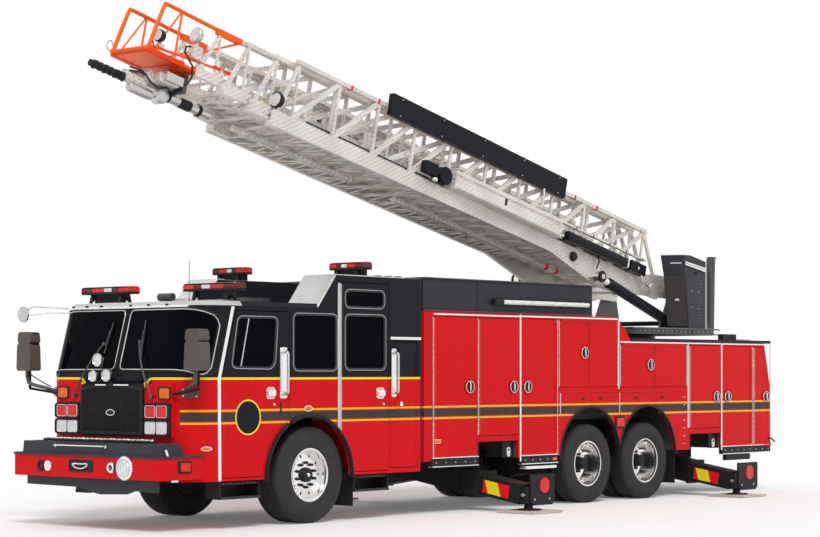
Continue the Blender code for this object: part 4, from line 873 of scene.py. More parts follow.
def disc_with_holes(shape, y, z, x_at, inner, outer, holes, ring, radius, thick):
    """A wheel disc between two radii, dished by x_at(r), with a ring of round hand holes cut through it."""
    steps = holes * 12
    rows = [inner, ring - radius * 1.35, ring - radius, ring, ring + radius, ring + radius * 1.35, outer]
    front, back = [], []

    def place(row, i):
        """Pulls the middle rows on to the rim of the nearest hole."""
        step = 2 * pi / steps
        angle = i * step
        nearest = round(angle / (2 * pi / holes)) * 2 * pi / holes
        away = (angle - nearest) * ring
        r = rows[row]
        if 2 <= row <= 4 and abs(away) <= radius * 1.02:
            reach = sqrt(max(0, radius ** 2 - away ** 2))
            r = ring + (row - 3) * reach if row != 3 else ring
        return angle, r, abs(away) < radius * 0.98

    for row in range(len(rows)):
        for i in range(steps):
            angle, r, _ = place(row, i)
            for side, keep in ((0, front), (thick, back)):
                keep.append((x_at(r) - side, y + r * cos(angle), z + r * sin(angle)))
    count = len(rows) * steps
    faces = []
    for row in range(len(rows) - 1):
        for i in range(steps):
            j = (i + 1) % steps
            inside = row in (2, 3) and place(row, i)[2] and place(row, j)[2]
            if inside:
                continue
            a, b, c, d = row * steps + i, row * steps + j, (row + 1) * steps + j, (row + 1) * steps + i
            faces.append((a, b, c, d))
            faces.append((a + count, d + count, c + count, b + count))
    shape.solid(front + back, faces)


def front_wheels():
    for label, side in SIDES:
        node = f"front_wheel_{label}"
        low, high = 0.8, 1.22
        tyre = Shape(flipped(side))
        tyre.lathe("X", (0, 0, FRONT_R), tyre_profile(low, high, FRONT_R, 0.305, 5), 96)
        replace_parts(piece(f"tyre_front_{label}", node, tyre, "tyre", smooth=40), node)
        rim = Shape(flipped(side))
        barrel = [(1.196, 0.29), (1.2, 0.3), (1.197, 0.312), (1.188, 0.313), (1.18, 0.3), (1.176, 0.29),
                  (1.15, 0.286), (0.87, 0.286), (0.83, 0.3), (0.815, 0.3), (0.815, 0.285), (0.85, 0.27),
                  (1.09, 0.27), (1.15, 0.274), (1.176, 0.278), (1.19, 0.282)]
        rim.lathe("X", (0, 0, FRONT_R), barrel, 72)
        disc_with_holes(rim, 0, FRONT_R, lambda r: 1.118 - 0.35 * max(0, r - 0.19) ** 1.2, 0.07, 0.275, 10,
                        0.222, 0.019, 0.02)
        rim.on(1).lathe("X", (0, 0, FRONT_R),
                        [(1.178, 0), (1.178, 0.04), (1.172, 0.046), (1.168, 0.074), (1.16, 0.082),
                         (1.112, 0.088), (1.1, 0)], 32)
        wheel_nuts(rim, 1.118, 0, FRONT_R, 0.142, 10, 0.045)
        rim.on(2).lathe("X", (0, 0, FRONT_R), [(1.184, 0), (1.184, 0.02), (1.177, 0.026), (1.17, 0)], 24)
        rim.on(1).lathe("X", (0, 0, FRONT_R),
                        [(0.806, 0.17), (0.806, 0.303), (0.835, 0.303), (0.835, 0.17)], 48)
        piece(f"rim_front_{label}", node, rim, "alloy trim steel")


def rear_wheels():
    for label, side in SIDES:
        for index, y in enumerate(REAR_AXLE_YS):
            node = f"rear_wheel_{label}_{index + 1}"
            tyre = Shape(flipped(side))
            for low, high in ((0.59, 0.88), (0.93, 1.22)):
                tyre.lathe("X", (0, y, REAR_R), tyre_profile(low, high, REAR_R, 0.3, 3), 96)
                lugs(tyre, y, low, high, REAR_R, 56)
            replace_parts(piece(f"tyres_{label}_{index + 1}", node, tyre, "tyre", smooth=40), node)
            rim = Shape(flipped(side))
            barrel = [(1.198, 0.283), (1.203, 0.293), (1.2, 0.304), (1.19, 0.305), (1.182, 0.292),
                      (1.172, 0.28), (1.12, 0.268), (1.02, 0.258), (0.96, 0.242), (0.945, 0.221),
                      (0.93, 0.221), (0.64, 0.262), (0.62, 0.288), (0.605, 0.288), (0.605, 0.294),
                      (0.64, 0.296), (0.96, 0.284), (1.15, 0.279), (1.18, 0.29)]
            rim.lathe("X", (0, y, REAR_R), barrel, 72)
            disc_with_holes(rim, y, REAR_R, lambda r: 0.945 - 0.1 * max(0, 0.2 - r), 0.07, 0.232, 10, 0.196,
                            0.022, 0.02)
            rim.on(1).lathe("X", (0, y, REAR_R),
                            [(1.15, 0), (1.15, 0.07), (1.142, 0.078), (1.06, 0.08), (1.056, 0.092),
                             (1.04, 0.095), (0.95, 0.098), (0.93, 0)], 32)
            wheel_nuts(rim, 0.944, y, REAR_R, 0.142, 10, 0.05)
            for bolt_y, bolt_z in ellipse((y, REAR_R), 0.085, 0.085, 8):
                rim.drum("X", (0, bolt_y, bolt_z), 0.008, (1.04, 1.066), 6)
            piece(f"rim_{label}_{index + 1}", node, rim, "alloy frame")


front_wheels()
rear_wheels()

# Cab

ROOT = BODY_OF["chassis_frame"]
CAB_FRONT_Y, CAB_CORNER_Y, CAB_FLAT_X, CAB_ROUND = -1.906, -1.5, 0.95, 0.3
SCREEN_RAKE = 0.22
RAKE_FROM_Z, RAKE_HEIGHT = 1.7, 0.79
PANE_COLUMNS = (
    # X, bottom Z, top Z
    (0.045, 1.83, 2.395), (0.062, 1.792,
                           2.433), (0.1, 1.777, 2.447), (0.4, 1.777, 2.448), (0.7, 1.776, 2.448),
    (0.95, 1.774, 2.447), (1.065, 1.765,
                           2.436), (1.13, 1.745, 2.418), (1.162, 1.728, 2.405), (1.2, 1.722, 2.375),
    (1.222, 1.74, 2.33), (1.232, 1.79, 2.26),
)
FRONT_DOOR_WINDOW = [(-1.31, 1.805), (-0.7, 1.795), (-0.64, 1.86), (-0.6, 2.36), (-1.175, 2.36),
                     (-1.215, 2.33)]
FIXED_WINDOW = ((-0.325, 0.385), (1.775, 2.41))
CREW_WINDOW = ((0.545, 1.235), (1.785, 2.415))
UPPER_WINDOW = ((0.545, 1.215), (2.515, 2.705))
LAMP_CENTRES_X = (0.655, 0.84)
LAMP_ROWS_Z = ((1.228, 1.395), (1.047, 1.216))
BEZEL_X = (0.535, 0.962)
BEZEL_Y = -1.976


def nose_y(x, z):
    """Y of the cab's front skin at a place seen from the front."""
    rake = SCREEN_RAKE * max(0, min(1, (z - RAKE_FROM_Z) / RAKE_HEIGHT))
    front, corner = CAB_FRONT_Y + rake, CAB_CORNER_Y + rake
    x = abs(x)
    if x <= CAB_FLAT_X:
        return front
    angles = [radians(t) for t in (0, 22.5, 45, 67.5, 90)]
    stops = [(CAB_FLAT_X + CAB_ROUND * sin(t), corner - (corner - front) * cos(t)) for t in angles]
    for (xa, ya), (xb, yb) in zip(stops, stops[1:]):
        if x <= xb:
            return ya + (yb - ya) * (x - xa) / (xb - xa)
    return corner


def on_nose(points, out):
    """Points seen from the front, (X, Z), put on the cab's skin or a little in front of it."""
    return [(x, nose_y(x, z) - out, z) for x, z in points]


def windscreen_look():
    glass, trim, seal = Shape(), Shape(), Shape()
    count = len(PANE_COLUMNS)
    points = []
    for out in (0.004, -0.012):
        for x, low, high in PANE_COLUMNS:
            points += [(x, nose_y(x, z) - out, z) for z in (low + (high - low) * k / 4 for k in range(5))]
    faces = []
    for i in range(count - 1):
        for k in range(4):
            a = i * 5 + k
            quad = (a, a + 5, a + 6, a + 1)
            faces += [quad, tuple(q + count * 5 for q in reversed(quad))]
    edge = [(i, 0) for i in range(count)] + [(count - 1, k) for k in range(1, 5)]
    edge += [(i, 4) for i in range(count - 2, -1, -1)] + [(0, k) for k in (3, 2, 1)]
    for (i, k), (j, m) in zip(edge, edge[1:] + edge[:1]):
        a, b = i * 5 + k, j * 5 + m
        faces.append((a, a + count * 5, b + count * 5, b))
    glass.solid(points, faces)
    loop = [(PANE_COLUMNS[i][0],
             PANE_COLUMNS[i][1] + (PANE_COLUMNS[i][2] - PANE_COLUMNS[i][1]) * k / 4) for i, k in edge]
    trim.tube(on_nose(loop, 0.01), 0.0075, 8, True)
    grow = [(x + (0.013 if x > 1.2 else -0.01 if x < 0.07 else 0),
             z + (0.013 if z > 2.1 else -0.013)) for x, z in loop]
    seal.tube(on_nose(grow, 0.003), 0.013, 8, True)
    piece("windscreen_panes", ROOT, glass.mirrored(), "glass")
    piece("windscreen_trim", ROOT, trim.mirrored(), "steel")
    piece("windscreen_seals", ROOT, seal.mirrored(), "seal")
    post = Shape()
    post.tube(on_nose([(0, 1.77), (0, 2.1), (0, 2.46)], -0.004), 0.02, 8)
    piece("screen_post", ROOT, post, "black")
    visor = Shape()
    line = [(x / 100, 2.478) for x in range(-120, 99, 6)]
    visor.tube(on_nose(line, 0.006), 0.013, 8)
    piece("visor_edge", ROOT, visor, "bright")
    hooks = Shape()
    for x in (-1, -0.75, -0.5, 0, 0.3, 0.6):
        hooks.box(about(x, 0.015), (nose_y(x, 2.5) - 0.012, nose_y(x, 2.5) + 0.012), (2.49, 2.512))
    piece("visor_clips", ROOT, hooks, "trim", 0.003)


def window(name, body, side, outline, seam=None):
    """A pane in an opening of the side, with its rubber seal and a bright bead."""
    glass, seal, bead = Shape(), Shape(), Shape()
    for shape in (glass, seal, bead):
        shape.matrix = flipped(side)
    glass.prism("X", (1.225, 1.235), outline)
    inner = grown(soften(outline, 0.07), -0.012)
    rim_faces(seal, "X", (1.235, 1.257), inner, 0.038)
    rim_faces(bead, "X", (1.2565, 1.2585), grown(inner, 0.024), 0.005)
    if seam:
        (y0, z0), (y1, z1) = seam
        bead.prism("X", (1.234, 1.244),
                   [(y0 - 0.008, z0), (y0 + 0.008, z0), (y1 + 0.008, z1), (y1 - 0.008, z1)])
    piece(f"{name}_glass", body, glass, "glass")
    piece(f"{name}_seal", body, seal, "grey", 0.004)
    piece(f"{name}_bead", body, bead, "steel")


def cab_windows():
    for label, side in SIDES:
        crew, front = f"crew_door_{label}", f"front_door_{label}"
        window(f"front_window_{label}", front, side, FRONT_DOOR_WINDOW, ((-1.165, 1.8), (-1.035, 2.36)))
        window(f"fixed_window_{label}", ROOT, side, rounded(*FIXED_WINDOW, 0.06))
        window(f"crew_window_{label}", crew, side, rounded(*CREW_WINDOW, 0.06))
        window(f"upper_window_{label}", crew, side, rounded(*UPPER_WINDOW, 0.06))


def lamp_block(shape, x, z, y, slot):
    """One lens in a bright rounded edge."""
    outline = rounded(about(x, 0.078), about(z, 0.062), 0.014)
    rim_faces(shape.on(3), "Y", (y - 0.01, y + 0.004), outline, 0.007)
    shape.on(slot).prism("Y", (y - 0.006, y + 0.004), outline)


def front_lamps():
    shape = Shape()
    for row, (low, high) in enumerate(LAMP_ROWS_Z):
        shape.slot = 0
        rim = rounded((BEZEL_X[0] + 0.012, BEZEL_X[1] - 0.012), (low + 0.012, high - 0.012), 0.02)
        rim_faces(shape, "Y", (BEZEL_Y - 0.016, BEZEL_Y + 0.03), rim, 0.012)
        shape.prism("Y", (BEZEL_Y - 0.002, BEZEL_Y + 0.012), rim)
        for x in LAMP_CENTRES_X:
            lamp_block(shape, x, (low + high) / 2, BEZEL_Y - 0.004, 2 - row)
    signal = rounded((0.772, 0.938), (1.458, 1.572), 0.02)
    rim_faces(shape.on(0), "Y", (-1.965, -1.944), signal, 0.014)
    shape.on(4).prism("Y", (-1.96, -1.944), signal)
    piece("front_lamps", ROOT, shape.mirrored(), "trim clear red_lens alloy amber_lens", 0.003)


def grille():
    """Ribbed panel in a black frame with an arched top, two bright strips and a blank oval badge."""
    shape = Shape()
    top = [(x / 10 * 0.52, 1.57 + 0.052 * (1 - (x / 10) ** 2)) for x in range(-10, 11)]
    face = [(-0.52, 1.05), (0.52, 1.05)] + top[::-1]
    inner = grown(face, -0.035)
    rim_faces(shape, "Y", (-1.984, -1.95), inner, 0.035)
    shape.on(1).prism("Y", (-1.969, -1.955), inner)
    for i in range(34):
        x = -0.47 + 0.94 * i / 33
        height = 1.545 + 0.045 * (1 - (x / 0.52) ** 2)
        shape.prism("Y", (-1.9775, -1.966), oblong(about(x, 0.006), (1.09, height)))
    for z in (1.2, 1.34, 1.47):
        shape.box((-0.485, 0.485), (-1.975, -1.966), about(z, 0.004))
    shape.slot = 2
    for x0, x1 in ((-0.26, -0.08), (0.05, 0.3)):
        shape.prism("Y", (-1.99, -1.982), oblong((x0, x1), (1.596, 1.612)))
    oval = grown(ellipse((0, 1.295), 0.075, 0.036, 28), -0.01)
    rim_faces(shape, "Y", (-1.992, -1.978), oval, 0.01)
    shape.on(0).prism("Y", (-1.988, -1.978), oval)
    piece("grille", ROOT, shape, "trim frame alloy", 0.0025)
    tape = Shape()
    for _ in tape.both(Matrix.Identity(4)):
        for y, start, end, steps in (((-1.9105, -1.904), 90, 150, 6), ((-1.95, -1.905), 148, 190, 5)):
            tape.prism("Y", y, band((0.605, BELT_Z - 0.085), 0.085 + BELT_HALF, 0.085 - BELT_HALF, start,
                                    end, steps))
    piece("belt_corners", ROOT, tape, "yellow")
    cowl = Shape()
    cowl.prism("Z", (1.64, 1.7), [(-0.5, -1.902), (-0.42, -1.95), (0.42, -1.95), (0.5, -1.902)])
    for x in (-0.36, -0.12, 0.12, 0.36):
        cowl.box(about(x, 0.05), (-1.962, -1.94), (1.652, 1.688))
    for x in (-0.46, 0.46):
        cowl.drum("Y", (x, -1.93, 1.665), 0.018, (-0.03, 0.02), 12)
    piece("cowl", ROOT, cowl, "black", 0.006)


def wipers():
    shape = Shape()
    for pivot, joint, top, bottom in (
            ((-0.635, 1.48), (-0.285, 2.067), (-0.205, 2.306), (-0.255, 1.96)),
            ((0.665, 1.478), (0.315, 2.085), (0.33, 2.332), (0.38, 1.86))):
        x, z = pivot
        shape.drum("Y", (x, -1.95, z), 0.024, (-0.035, 0.006), 16)
        path = []
        for i in range(7):
            t = i / 6
            px, pz = x + (joint[0] - x) * t, z + (joint[1] - z) * t
            path.append((px, min(-1.985, nose_y(px, pz) - 0.05) * (1 - t) + (nose_y(px, pz) - 0.04) * t,
                         pz))
        for offset in (-0.008, 0.008):
            shape.tube([(px + offset, py, pz) for px, py, pz in path], 0.0045, 8)
        blade = []
        for i in range(9):
            t = i / 8
            px, pz = bottom[0] + (top[0] - bottom[0]) * t, bottom[1] + (top[1] - bottom[1]) * t
            blade.append((px, nose_y(px, pz) - 0.022, pz))
        shape.tube(blade, 0.007, 8)
        shape.tube([(px, py - 0.014, pz) for px, py, pz in blade[2:7]], 0.008, 8)
        shape.ball((joint[0], nose_y(*joint) - 0.036, joint[1]), (0.02, 0.014, 0.024), 12, 6)
    piece("wipers", ROOT, shape, "dark_steel")


def cowl_spots():
    """Three round lamps on short stalks in front of the screen."""
    shape = Shape()
    for x, z, radius in ((-0.18, 1.885, 0.075), (-0.258, 1.706, 0.066), (-0.03, 1.712, 0.072)):
        y = -1.995
        shape.on(0).lathe("Y", (x, y, z),
                          [(-0.03, radius * 0.93), (-0.036, radius), (-0.024, radius * 1.04),
                           (0.004, radius), (0.04, radius * 0.72), (0.06, radius * 0.3), (0.062, 0)], 32)
        shape.on(1).lathe("Y", (x, y, z),
                          [(-0.03, 0), (-0.029, radius * 0.5), (-0.026, radius * 0.95),
                           (-0.018, radius * 0.95), (-0.018, 0)], 28)
        shape.on(2).tube([(x, y + 0.03, z - radius * 0.6), (x, y + 0.045, z - radius - 0.03),
                          (x * 0.6 - 0.05, -1.945, 1.66)], 0.009, 8)
    piece("cowl_spots", ROOT, shape, "alloy clear dark_steel")


def mirrors():
    shape = Shape()
    head = Matrix.Translation((1.415, -2.03, 0))
    for side in shape.both(head):
        shape.slot = 0
        for x, y, z, radius in (((-0.125, 0.13), (-0.048, 0.112), (1.762, 2.085), 0.05),
                                ((-0.118, 0.12), (-0.04, 0.11), (2.08, 2.215), 0.04)):
            outline = soften([(x[0], z[0] + 0.02), (x[0] + 0.03, z[0]), (x[1] - 0.02, z[0]),
                              (x[1], z[0] + 0.03), (x[1] - 0.012, z[1]), (x[0] + 0.016, z[1])], radius)
            shape.prism("Y", y, outline)
            shape.on(1).prism("Y", (y[1] - 0.002, y[1] + 0.004), grown(outline, -0.018))
            shape.slot = 0
        shape.box((-0.05, 0.06), (-0.02, 0.03), (2.06, 2.1))
        shape.matrix = flipped(side)
        shape.tube([(1.415, -2.02, 1.8), (1.42, -2.018, 1.7), (1.405, -2.012, 1.63), (1.33, -1.995, 1.6),
                    (1.21, -1.93, 1.57), (1.17, -1.875, 1.55), (1.145, -1.845, 1.535)], 0.021, 12)
        shape.tube([(1.38, -2, 1.72), (1.25, -1.93, 1.63), (1.18, -1.86, 1.58)], 0.008, 8)
        shape.ball((1.415, -2.02, 1.775), (0.034, 0.03, 0.03), 14, 8)
        plate_x, plate_z = 1.125, 1.52
        way = Matrix.Translation((plate_x, nose_y(plate_x, plate_z) - 0.003, plate_z)) @ Matrix.Rotation(
            radians(33), 4, "Z")
        shape.matrix = flipped(side) @ way
        shape.prism("Y", (-0.016, 0.004), rounded((-0.095, 0.095), (-0.055, 0.055), 0.016))
        shape.prism("Y", (-0.034, -0.012), rounded((-0.06, 0.06), (-0.035, 0.035), 0.012))
        shape.slot = 2
        for x in (-0.075, 0.075):
            for z in (-0.036, 0.036):
                shape.lathe("Y", (x, 0, z), [(-0.024, 0), (-0.023, 0.008), (-0.016, 0.01), (-0.012, 0)], 8)
    piece("mirrors", ROOT, shape, "mirror_case clear alloy", 0.008, 35, 3)
    wide = Shape()
    x, y, z = -1.5, -2.02, 2.42
    wide.lathe("Y", (x, y, z),
               [(-0.02, 0), (-0.015, 0.07), (0, 0.095), (0.016, 0.097), (0.018, 0.085), (0.01, 0)], 32)
    wide.tube([(x, y, z + 0.02), (x + 0.12, y + 0.06, z + 0.09), (-1.17, -1.6, 2.49)], 0.008, 8)
    wide.tube([(x, y, z - 0.02), (-1.3, -1.78, 2.44), (-1.19, -1.56, 2.44)], 0.006, 8)
    piece("wide_mirror", ROOT, wide, "steel")


def roof_lights():
    """Four light bars: ribbed red domes with a clear part, black bases and feet."""
    shape = Shape()
    for x, y, z in (((0.46, 1.29), -1.22, (2.66, 2.745)), ((0.74, 1.27), 0.9, (2.965, 3.05))):
        (x0, x1), (z0, z1) = x, z
        length = x1 - x0
        for _ in shape.both(Matrix.Identity(4)):
            for start, end, slot in ((0, 0.22, 1), (0.22, 0.36, 2), (0.36, 0.52, 3), (0.52, 0.78, 1),
                                     (0.78, 1, 2)):
                a, b = x0 - 0.004 + (length + 0.008) * start, x0 - 0.004 + (length + 0.008) * end
                shape.slot = slot
                dome = [(y - 0.088, z0 + 0.022), (y - 0.092, z0 + 0.05), (y - 0.08, z1 - 0.004),
                        (y - 0.05, z1 + 0.004), (y + 0.05, z1 + 0.004), (y + 0.08, z1 - 0.004),
                        (y + 0.092, z0 + 0.05), (y + 0.088, z0 + 0.022)]
                shape.prism("X", (a + 0.001, b - 0.001), dome)
            shape.on(0).prism("X", (x0 + 0.004, x1 - 0.004),
                              oblong(about(y, 0.094), (z0 - 0.002, z0 + 0.024)))
            for share in (0.2, 0.8):
                middle_x = x0 + length * share
                shape.prism("X", about(middle_x, 0.02), [
                    (y - 0.07, z0), (y - 0.1, z0 - 0.105), (y - 0.08, z0 - 0.105), (y, z0 - 0.04),
                    (y + 0.08, z0 - 0.105), (y + 0.1, z0 - 0.105), (y + 0.07, z0)])
    piece("light_bars", ROOT, shape, "trim red_lens dark_red_lens white_lens", 0.006)


def raised_roof_trim():
    shape = Shape()
    for _ in shape.both(Matrix.Identity(4)):
        shape.on(0).prism("X", (0.735, 1.245),
                          [(0.085, 2.49), (0.395, 2.878), (0.38, 2.892), (0.07, 2.504)])
        shape.prism("X", (0.735, 1.245), [(0.395, 2.879), (0.5, 2.879), (0.5, 2.892), (0.38, 2.892)])
        shape.box((1.228, 1.25), (0.52, 1.6), (2.876, 2.892))
        shape.on(1).box((0.745, 1.225), (0.5, 1.86), (2.878, 2.884))
        shape.slot = 2
        for y in (0.55, 0.85, 1.15, 1.45, 1.75):
            for z in (2.62, 2.8):
                shape.drum("X", (0.73, y, z), 0.01, (-0.006, 0.004), 8)
        for y in (0.62, 1.2, 1.38, 1.55):
            shape.box((1.13, 1.21), about(y, 0.03), (2.884, 2.905))
    piece("raised_roof_trim", ROOT, shape, "steel tread trim", 0.003)
    low = Shape()
    low.box((-0.72, 0.72), (-1.1, 1.85), (2.538, 2.545))
    low.on(1).drum("X", (0.24, -1.36, 2.6), 0.045, (-0.11, 0.11), 20)
    low.box((0.2, 0.28), (-1.4, -1.32), (2.53, 2.565))
    low.tube([(0.5, -1.25, 2.53), (0.5, -1.25, 3.02)], 0.004, 6)
    low.lathe("Z", (0.5, -1.25, 2.54), [(0, 0), (0, 0.02), (0.03, 0.012), (0.04, 0)], 12)
    for x in (-0.3, 0.3):
        low.box(about(x, 0.1), (-0.35, 0.15), (2.545, 2.62))
    low.on(2).box((-0.12, 0.12), (-0.95, -0.75), (2.545, 2.6))
    piece("roof_gear", ROOT, low, "tread dark_steel steel", 0.004)


windscreen_look()
cab_windows()
front_lamps()
grille()
wipers()
cowl_spots()
mirrors()
roof_lights()
raised_roof_trim()

# Bumper

FACE_Y = -2.372          # the red face, set back so that the siren stays inside the frame's length
BUMPER_BACK_Y = -1.725
BUMPER_Z = (0.575, 0.82)
DECK_TOP_Z = 0.968


def bumper_plan(amount):
    """The bumper's outer line, from the left rear end round to the right rear end."""
    right = [(1.24 + amount, BUMPER_BACK_Y), (1.24 + amount, -2.335 - amount * 0.4),
             (1.205 + amount * 0.4, FACE_Y - amount)]
    return right + [(-x, y) for x, y in reversed(right)]


def bumper_look():
    shell = Shape()
    shell.prism("Z", BUMPER_Z, bumper_plan(0) + bumper_plan(-0.02)[::-1])
    cab_line = [(x, nose_y(x, 0.8) - 0.012) for x in (-1.2, -1.16, -1.08, -0.95, 0.95, 1.08, 1.16, 1.2)]
    shell.prism("Z", (BUMPER_Z[1] - 0.02, BUMPER_Z[1]), bumper_plan(-0.001) + cab_line)
    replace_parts(piece("bumper_channel", ROOT, shell, "red", 0.004), "bumper")
    dark = Shape()
    dark.prism("Z", (0.812, 0.838), bumper_plan(0.012) + bumper_plan(0)[::-1])
    dark.prism("Y", (-2.31, -2.27),
               [(-1.06, 0.575), (-1.06, 0.475), (-0.15, 0.465), (0.02, 0.42), (0.2, 0.395), (0.62, 0.41),
                (0.75, 0.45), (1.12, 0.44), (1.12, 0.575)])
    piece("bumper_rubber", ROOT, dark, "grey", 0.003)
    deck = Shape()

    def ring(z, grow, rear):
        plan = [(1.16 + grow, rear), (1.16 + grow, -2.28), (1.08 + grow, -2.345 - grow)]
        return [(x, y, z) for x, y in plan + [(-a, b) for a, b in reversed(plan)]]

    deck.loft([ring(0.82, 0.008, -1.93), ring(0.84, 0.006, -1.94), ring(0.93, 0, -1.985),
               ring(0.95, -0.002, -1.99)])
    well = oblong((-0.93, 0.93), (-2.29, -2.05))
    deck.prism("Z", (0.949, DECK_TOP_Z), [(x, y) for x, y, z in ring(0, -0.004, -1.995)][::-1])
    rim_faces(deck, "Z", (0.96, DECK_TOP_Z + 0.006), well, 0.018)
    for x in (-0.62, 0, 0.62):
        deck.box(about(x, 0.03), (-2.02, -1.98), (0.955, 0.978))
    deck.on(1).tube([(-0.5, -2.352, 0.925), (-0.5, -2.385, 0.93), (0.34, -2.385, 0.93),
                     (0.34, -2.352, 0.925)], 0.009, 8)
    for x in (-0.5, 0.34):
        deck.drum("Y", (x, -2.352, 0.925), 0.018, (-0.012, 0.006), 12)
    for _ in deck.both(Matrix.Identity(4)):
        deck.prism("X", (1.163, 1.186), [(-2.255, 0.905), (-2.225, 0.91), (-2.19, 0.835), (-2.225, 0.828)])
        deck.box((1.12, 1.19), (-2.16, -2.06), (0.552, 0.574))
    piece("bumper_deck", ROOT, deck, "grey alloy", 0.004)
    net = Shape()
    for row, (y, rise) in enumerate(((-2.22, 0), (-2.17, 0.012), (-2.12, 0))):
        path = [(-0.87 + 1.96 * i / 60, y + 0.012 * sin(i * 1.9 + row),
                 0.985 + rise + 0.006 * sin(i * 2.7 + row)) for i in range(61)]
        net.on(row % 2).tube([p for p in path if p[0] < 0.91], 0.014, 8)
    piece("strapped_net", ROOT, net, "seal ladder")

    face = Shape()
    mats = "trim alloy clear red_lens dark_steel"
    face.lathe("Y", (-0.735, FACE_Y, 0.695),
               [(-0.012, 0.03), (-0.024, 0.042), (-0.018, 0.06), (0, 0.062), (0, 0.03)], 28)
    face.prism("Y", (FACE_Y - 0.004, FACE_Y + 0.01), rounded((-0.25, 0.15), (0.642, 0.772), 0.02))
    rim_faces(face, "Y", (FACE_Y - 0.009, FACE_Y + 0.004), rounded((-0.24, 0.14), (0.652, 0.762), 0.015),
              0.012)
    face.on(1).lathe("Y", (-0.6, FACE_Y, 0.695),
                     [(-0.022, 0), (-0.027, 0.035), (-0.024, 0.058), (-0.008, 0.064), (0, 0.062), (0, 0)],
                     28)
    loop = [(-0.055 + 0.125 * cos(t), FACE_Y - 0.013,
             0.703 + 0.026 * sin(t) + 0.02 * cos(t) ** 2) for t in turns(24)]
    face.tube(loop, 0.008, 8, True)
    face.lathe("Y", (0.455, FACE_Y, 0.7),
               [(-0.01, 0.03), (-0.022, 0.036), (-0.024, 0.052), (-0.012, 0.062), (0, 0.062), (0, 0.03)],
               28)
    siren = (0.685, FACE_Y, 0.7)
    face.lathe("Y", siren, [(-0.026, 0.104), (-0.0275, 0.112), (-0.026, 0.122), (-0.02, 0.128), (0, 0.128),
                            (0, 0.104)], 48)
    for turn in turns(24):
        face.matrix = Matrix.Translation(siren) @ Matrix.Rotation(turn, 4, "Y")
        face.prism("Y", (-0.019, 0), [(0.126, -0.009), (0.135, -0.006), (0.135, 0.006), (0.126, 0.009)])
    face.matrix = Matrix.Identity(4)
    for radius in (0.034, 0.07):
        face.lathe("Y", siren, [(-0.026, radius - 0.007), (-0.0275, radius), (-0.026, radius + 0.007),
                                (-0.012, radius)], 36)
    face.on(2).lathe("Y", siren, [(-0.024, 0), (-0.022, 0.06), (-0.017, 0.104), (0, 0.104), (0, 0)], 40)
    face.on(4).lathe("Y", (0.455, FACE_Y, 0.7), [(-0.012, 0), (-0.01, 0.034), (0, 0.034), (0, 0)], 24)
    for x in (0.505, 0.545):
        face.box(about(x, 0.012), (FACE_Y - 0.02, FACE_Y), (0.66, 0.74))
    piece("bumper_fittings", ROOT, face, mats, 0.0015)

    def side_lamp(shape):
        shape.prism("X", (1.238, 1.252), rounded((-2.115, -1.915), (0.648, 0.782), 0.02))
        shape.on(3).prism("X", (1.25, 1.264), rounded((-2.085, -1.945), (0.668, 0.762), 0.012))

    sided("bumper_side_lamp", None, side_lamp, mats, 0.004)


# Cab sides

SIDE = HALF_WIDTH
FLARE = ((-0.06, 0.53), 0.695, 0.742)


def flare(shape, start, end):
    """A stretch of the rubber lip round the front wheel arch."""
    centre, inner, outer = FLARE
    steps = max(6, int(abs(end - start) / 5))
    for low, high, x in ((inner, outer, 1.27), (inner + 0.01, outer - 0.014, 1.284)):
        shape.prism("X", (1.236, x), band(centre, high, low, start, end, steps))


def door_handle(shape, y, z):
    """A bright frame round a dark cup, with a paddle and a key lock below."""
    outline = rounded(about(y, 0.055), about(z, 0.055), 0.02)
    rim_faces(shape.on(0), "X", (SIDE, SIDE + 0.01), outline, 0.012)
    on_skin(shape.on(1), -0.002, 0.003, outline)
    on_skin(shape.on(0), 0, 0.032, rounded(about(y, 0.062), about(z, 0.033), 0.014))
    shape.drum("X", (SIDE, y + 0.06, z - 0.13), 0.015, (-0.002, 0.008), 16)


def grab_rail(shape, y, plate, z):
    """A ribbed plate on the skin and a round rail in front of it."""
    low, high = z
    on_skin(shape.on(0), 0, 0.005, rounded(plate, (low - 0.05, high + 0.05), 0.02))
    for level in spread(low - 0.03, high + 0.03, 17):
        on_skin(shape, 0, 0.009,
                rounded((plate[0] + 0.014, plate[1] - 0.014), about(level, 0.005), 0.004, 2))
    reach = SIDE + 0.072
    bend = [(SIDE, low), (reach - 0.03, low), (reach - 0.009, low + 0.009), (reach, low + 0.03),
            (reach, high - 0.03), (reach - 0.009, high - 0.009), (reach - 0.03, high), (SIDE, high)]
    shape.on(1).tube([(x, y, level) for x, level in bend], 0.016, 12)
    for level in (low, high):
        shape.drum("X", (SIDE, y, level), 0.03, (-0.002, 0.01), 16)


def step_well(shape, y0, y1, low, high):
    """Treads in a dark frame under a door."""
    shape.slot = 0
    for y in (y0, y1 - 0.02):
        shape.box((1, 1.215), (y, y + 0.02), (low, high + 0.03))
    shape.box((0.98, 1), (y0, y1), (low, high + 0.03))
    shape.slot = 1
    for level, reach in ((low, 1.238), (high - 0.04, 1.2)):
        shape.box((1, reach - 0.016), (y0 + 0.01, y1 - 0.01), (level, level + 0.024))
        count = int((y1 - y0) / 0.04)
        for i in range(count):
            y = y0 + 0.02 + (y1 - y0 - 0.04) * i / (count - 1)
            shape.box((reach - 0.02, reach), about(y, 0.01), (level, level + 0.03))


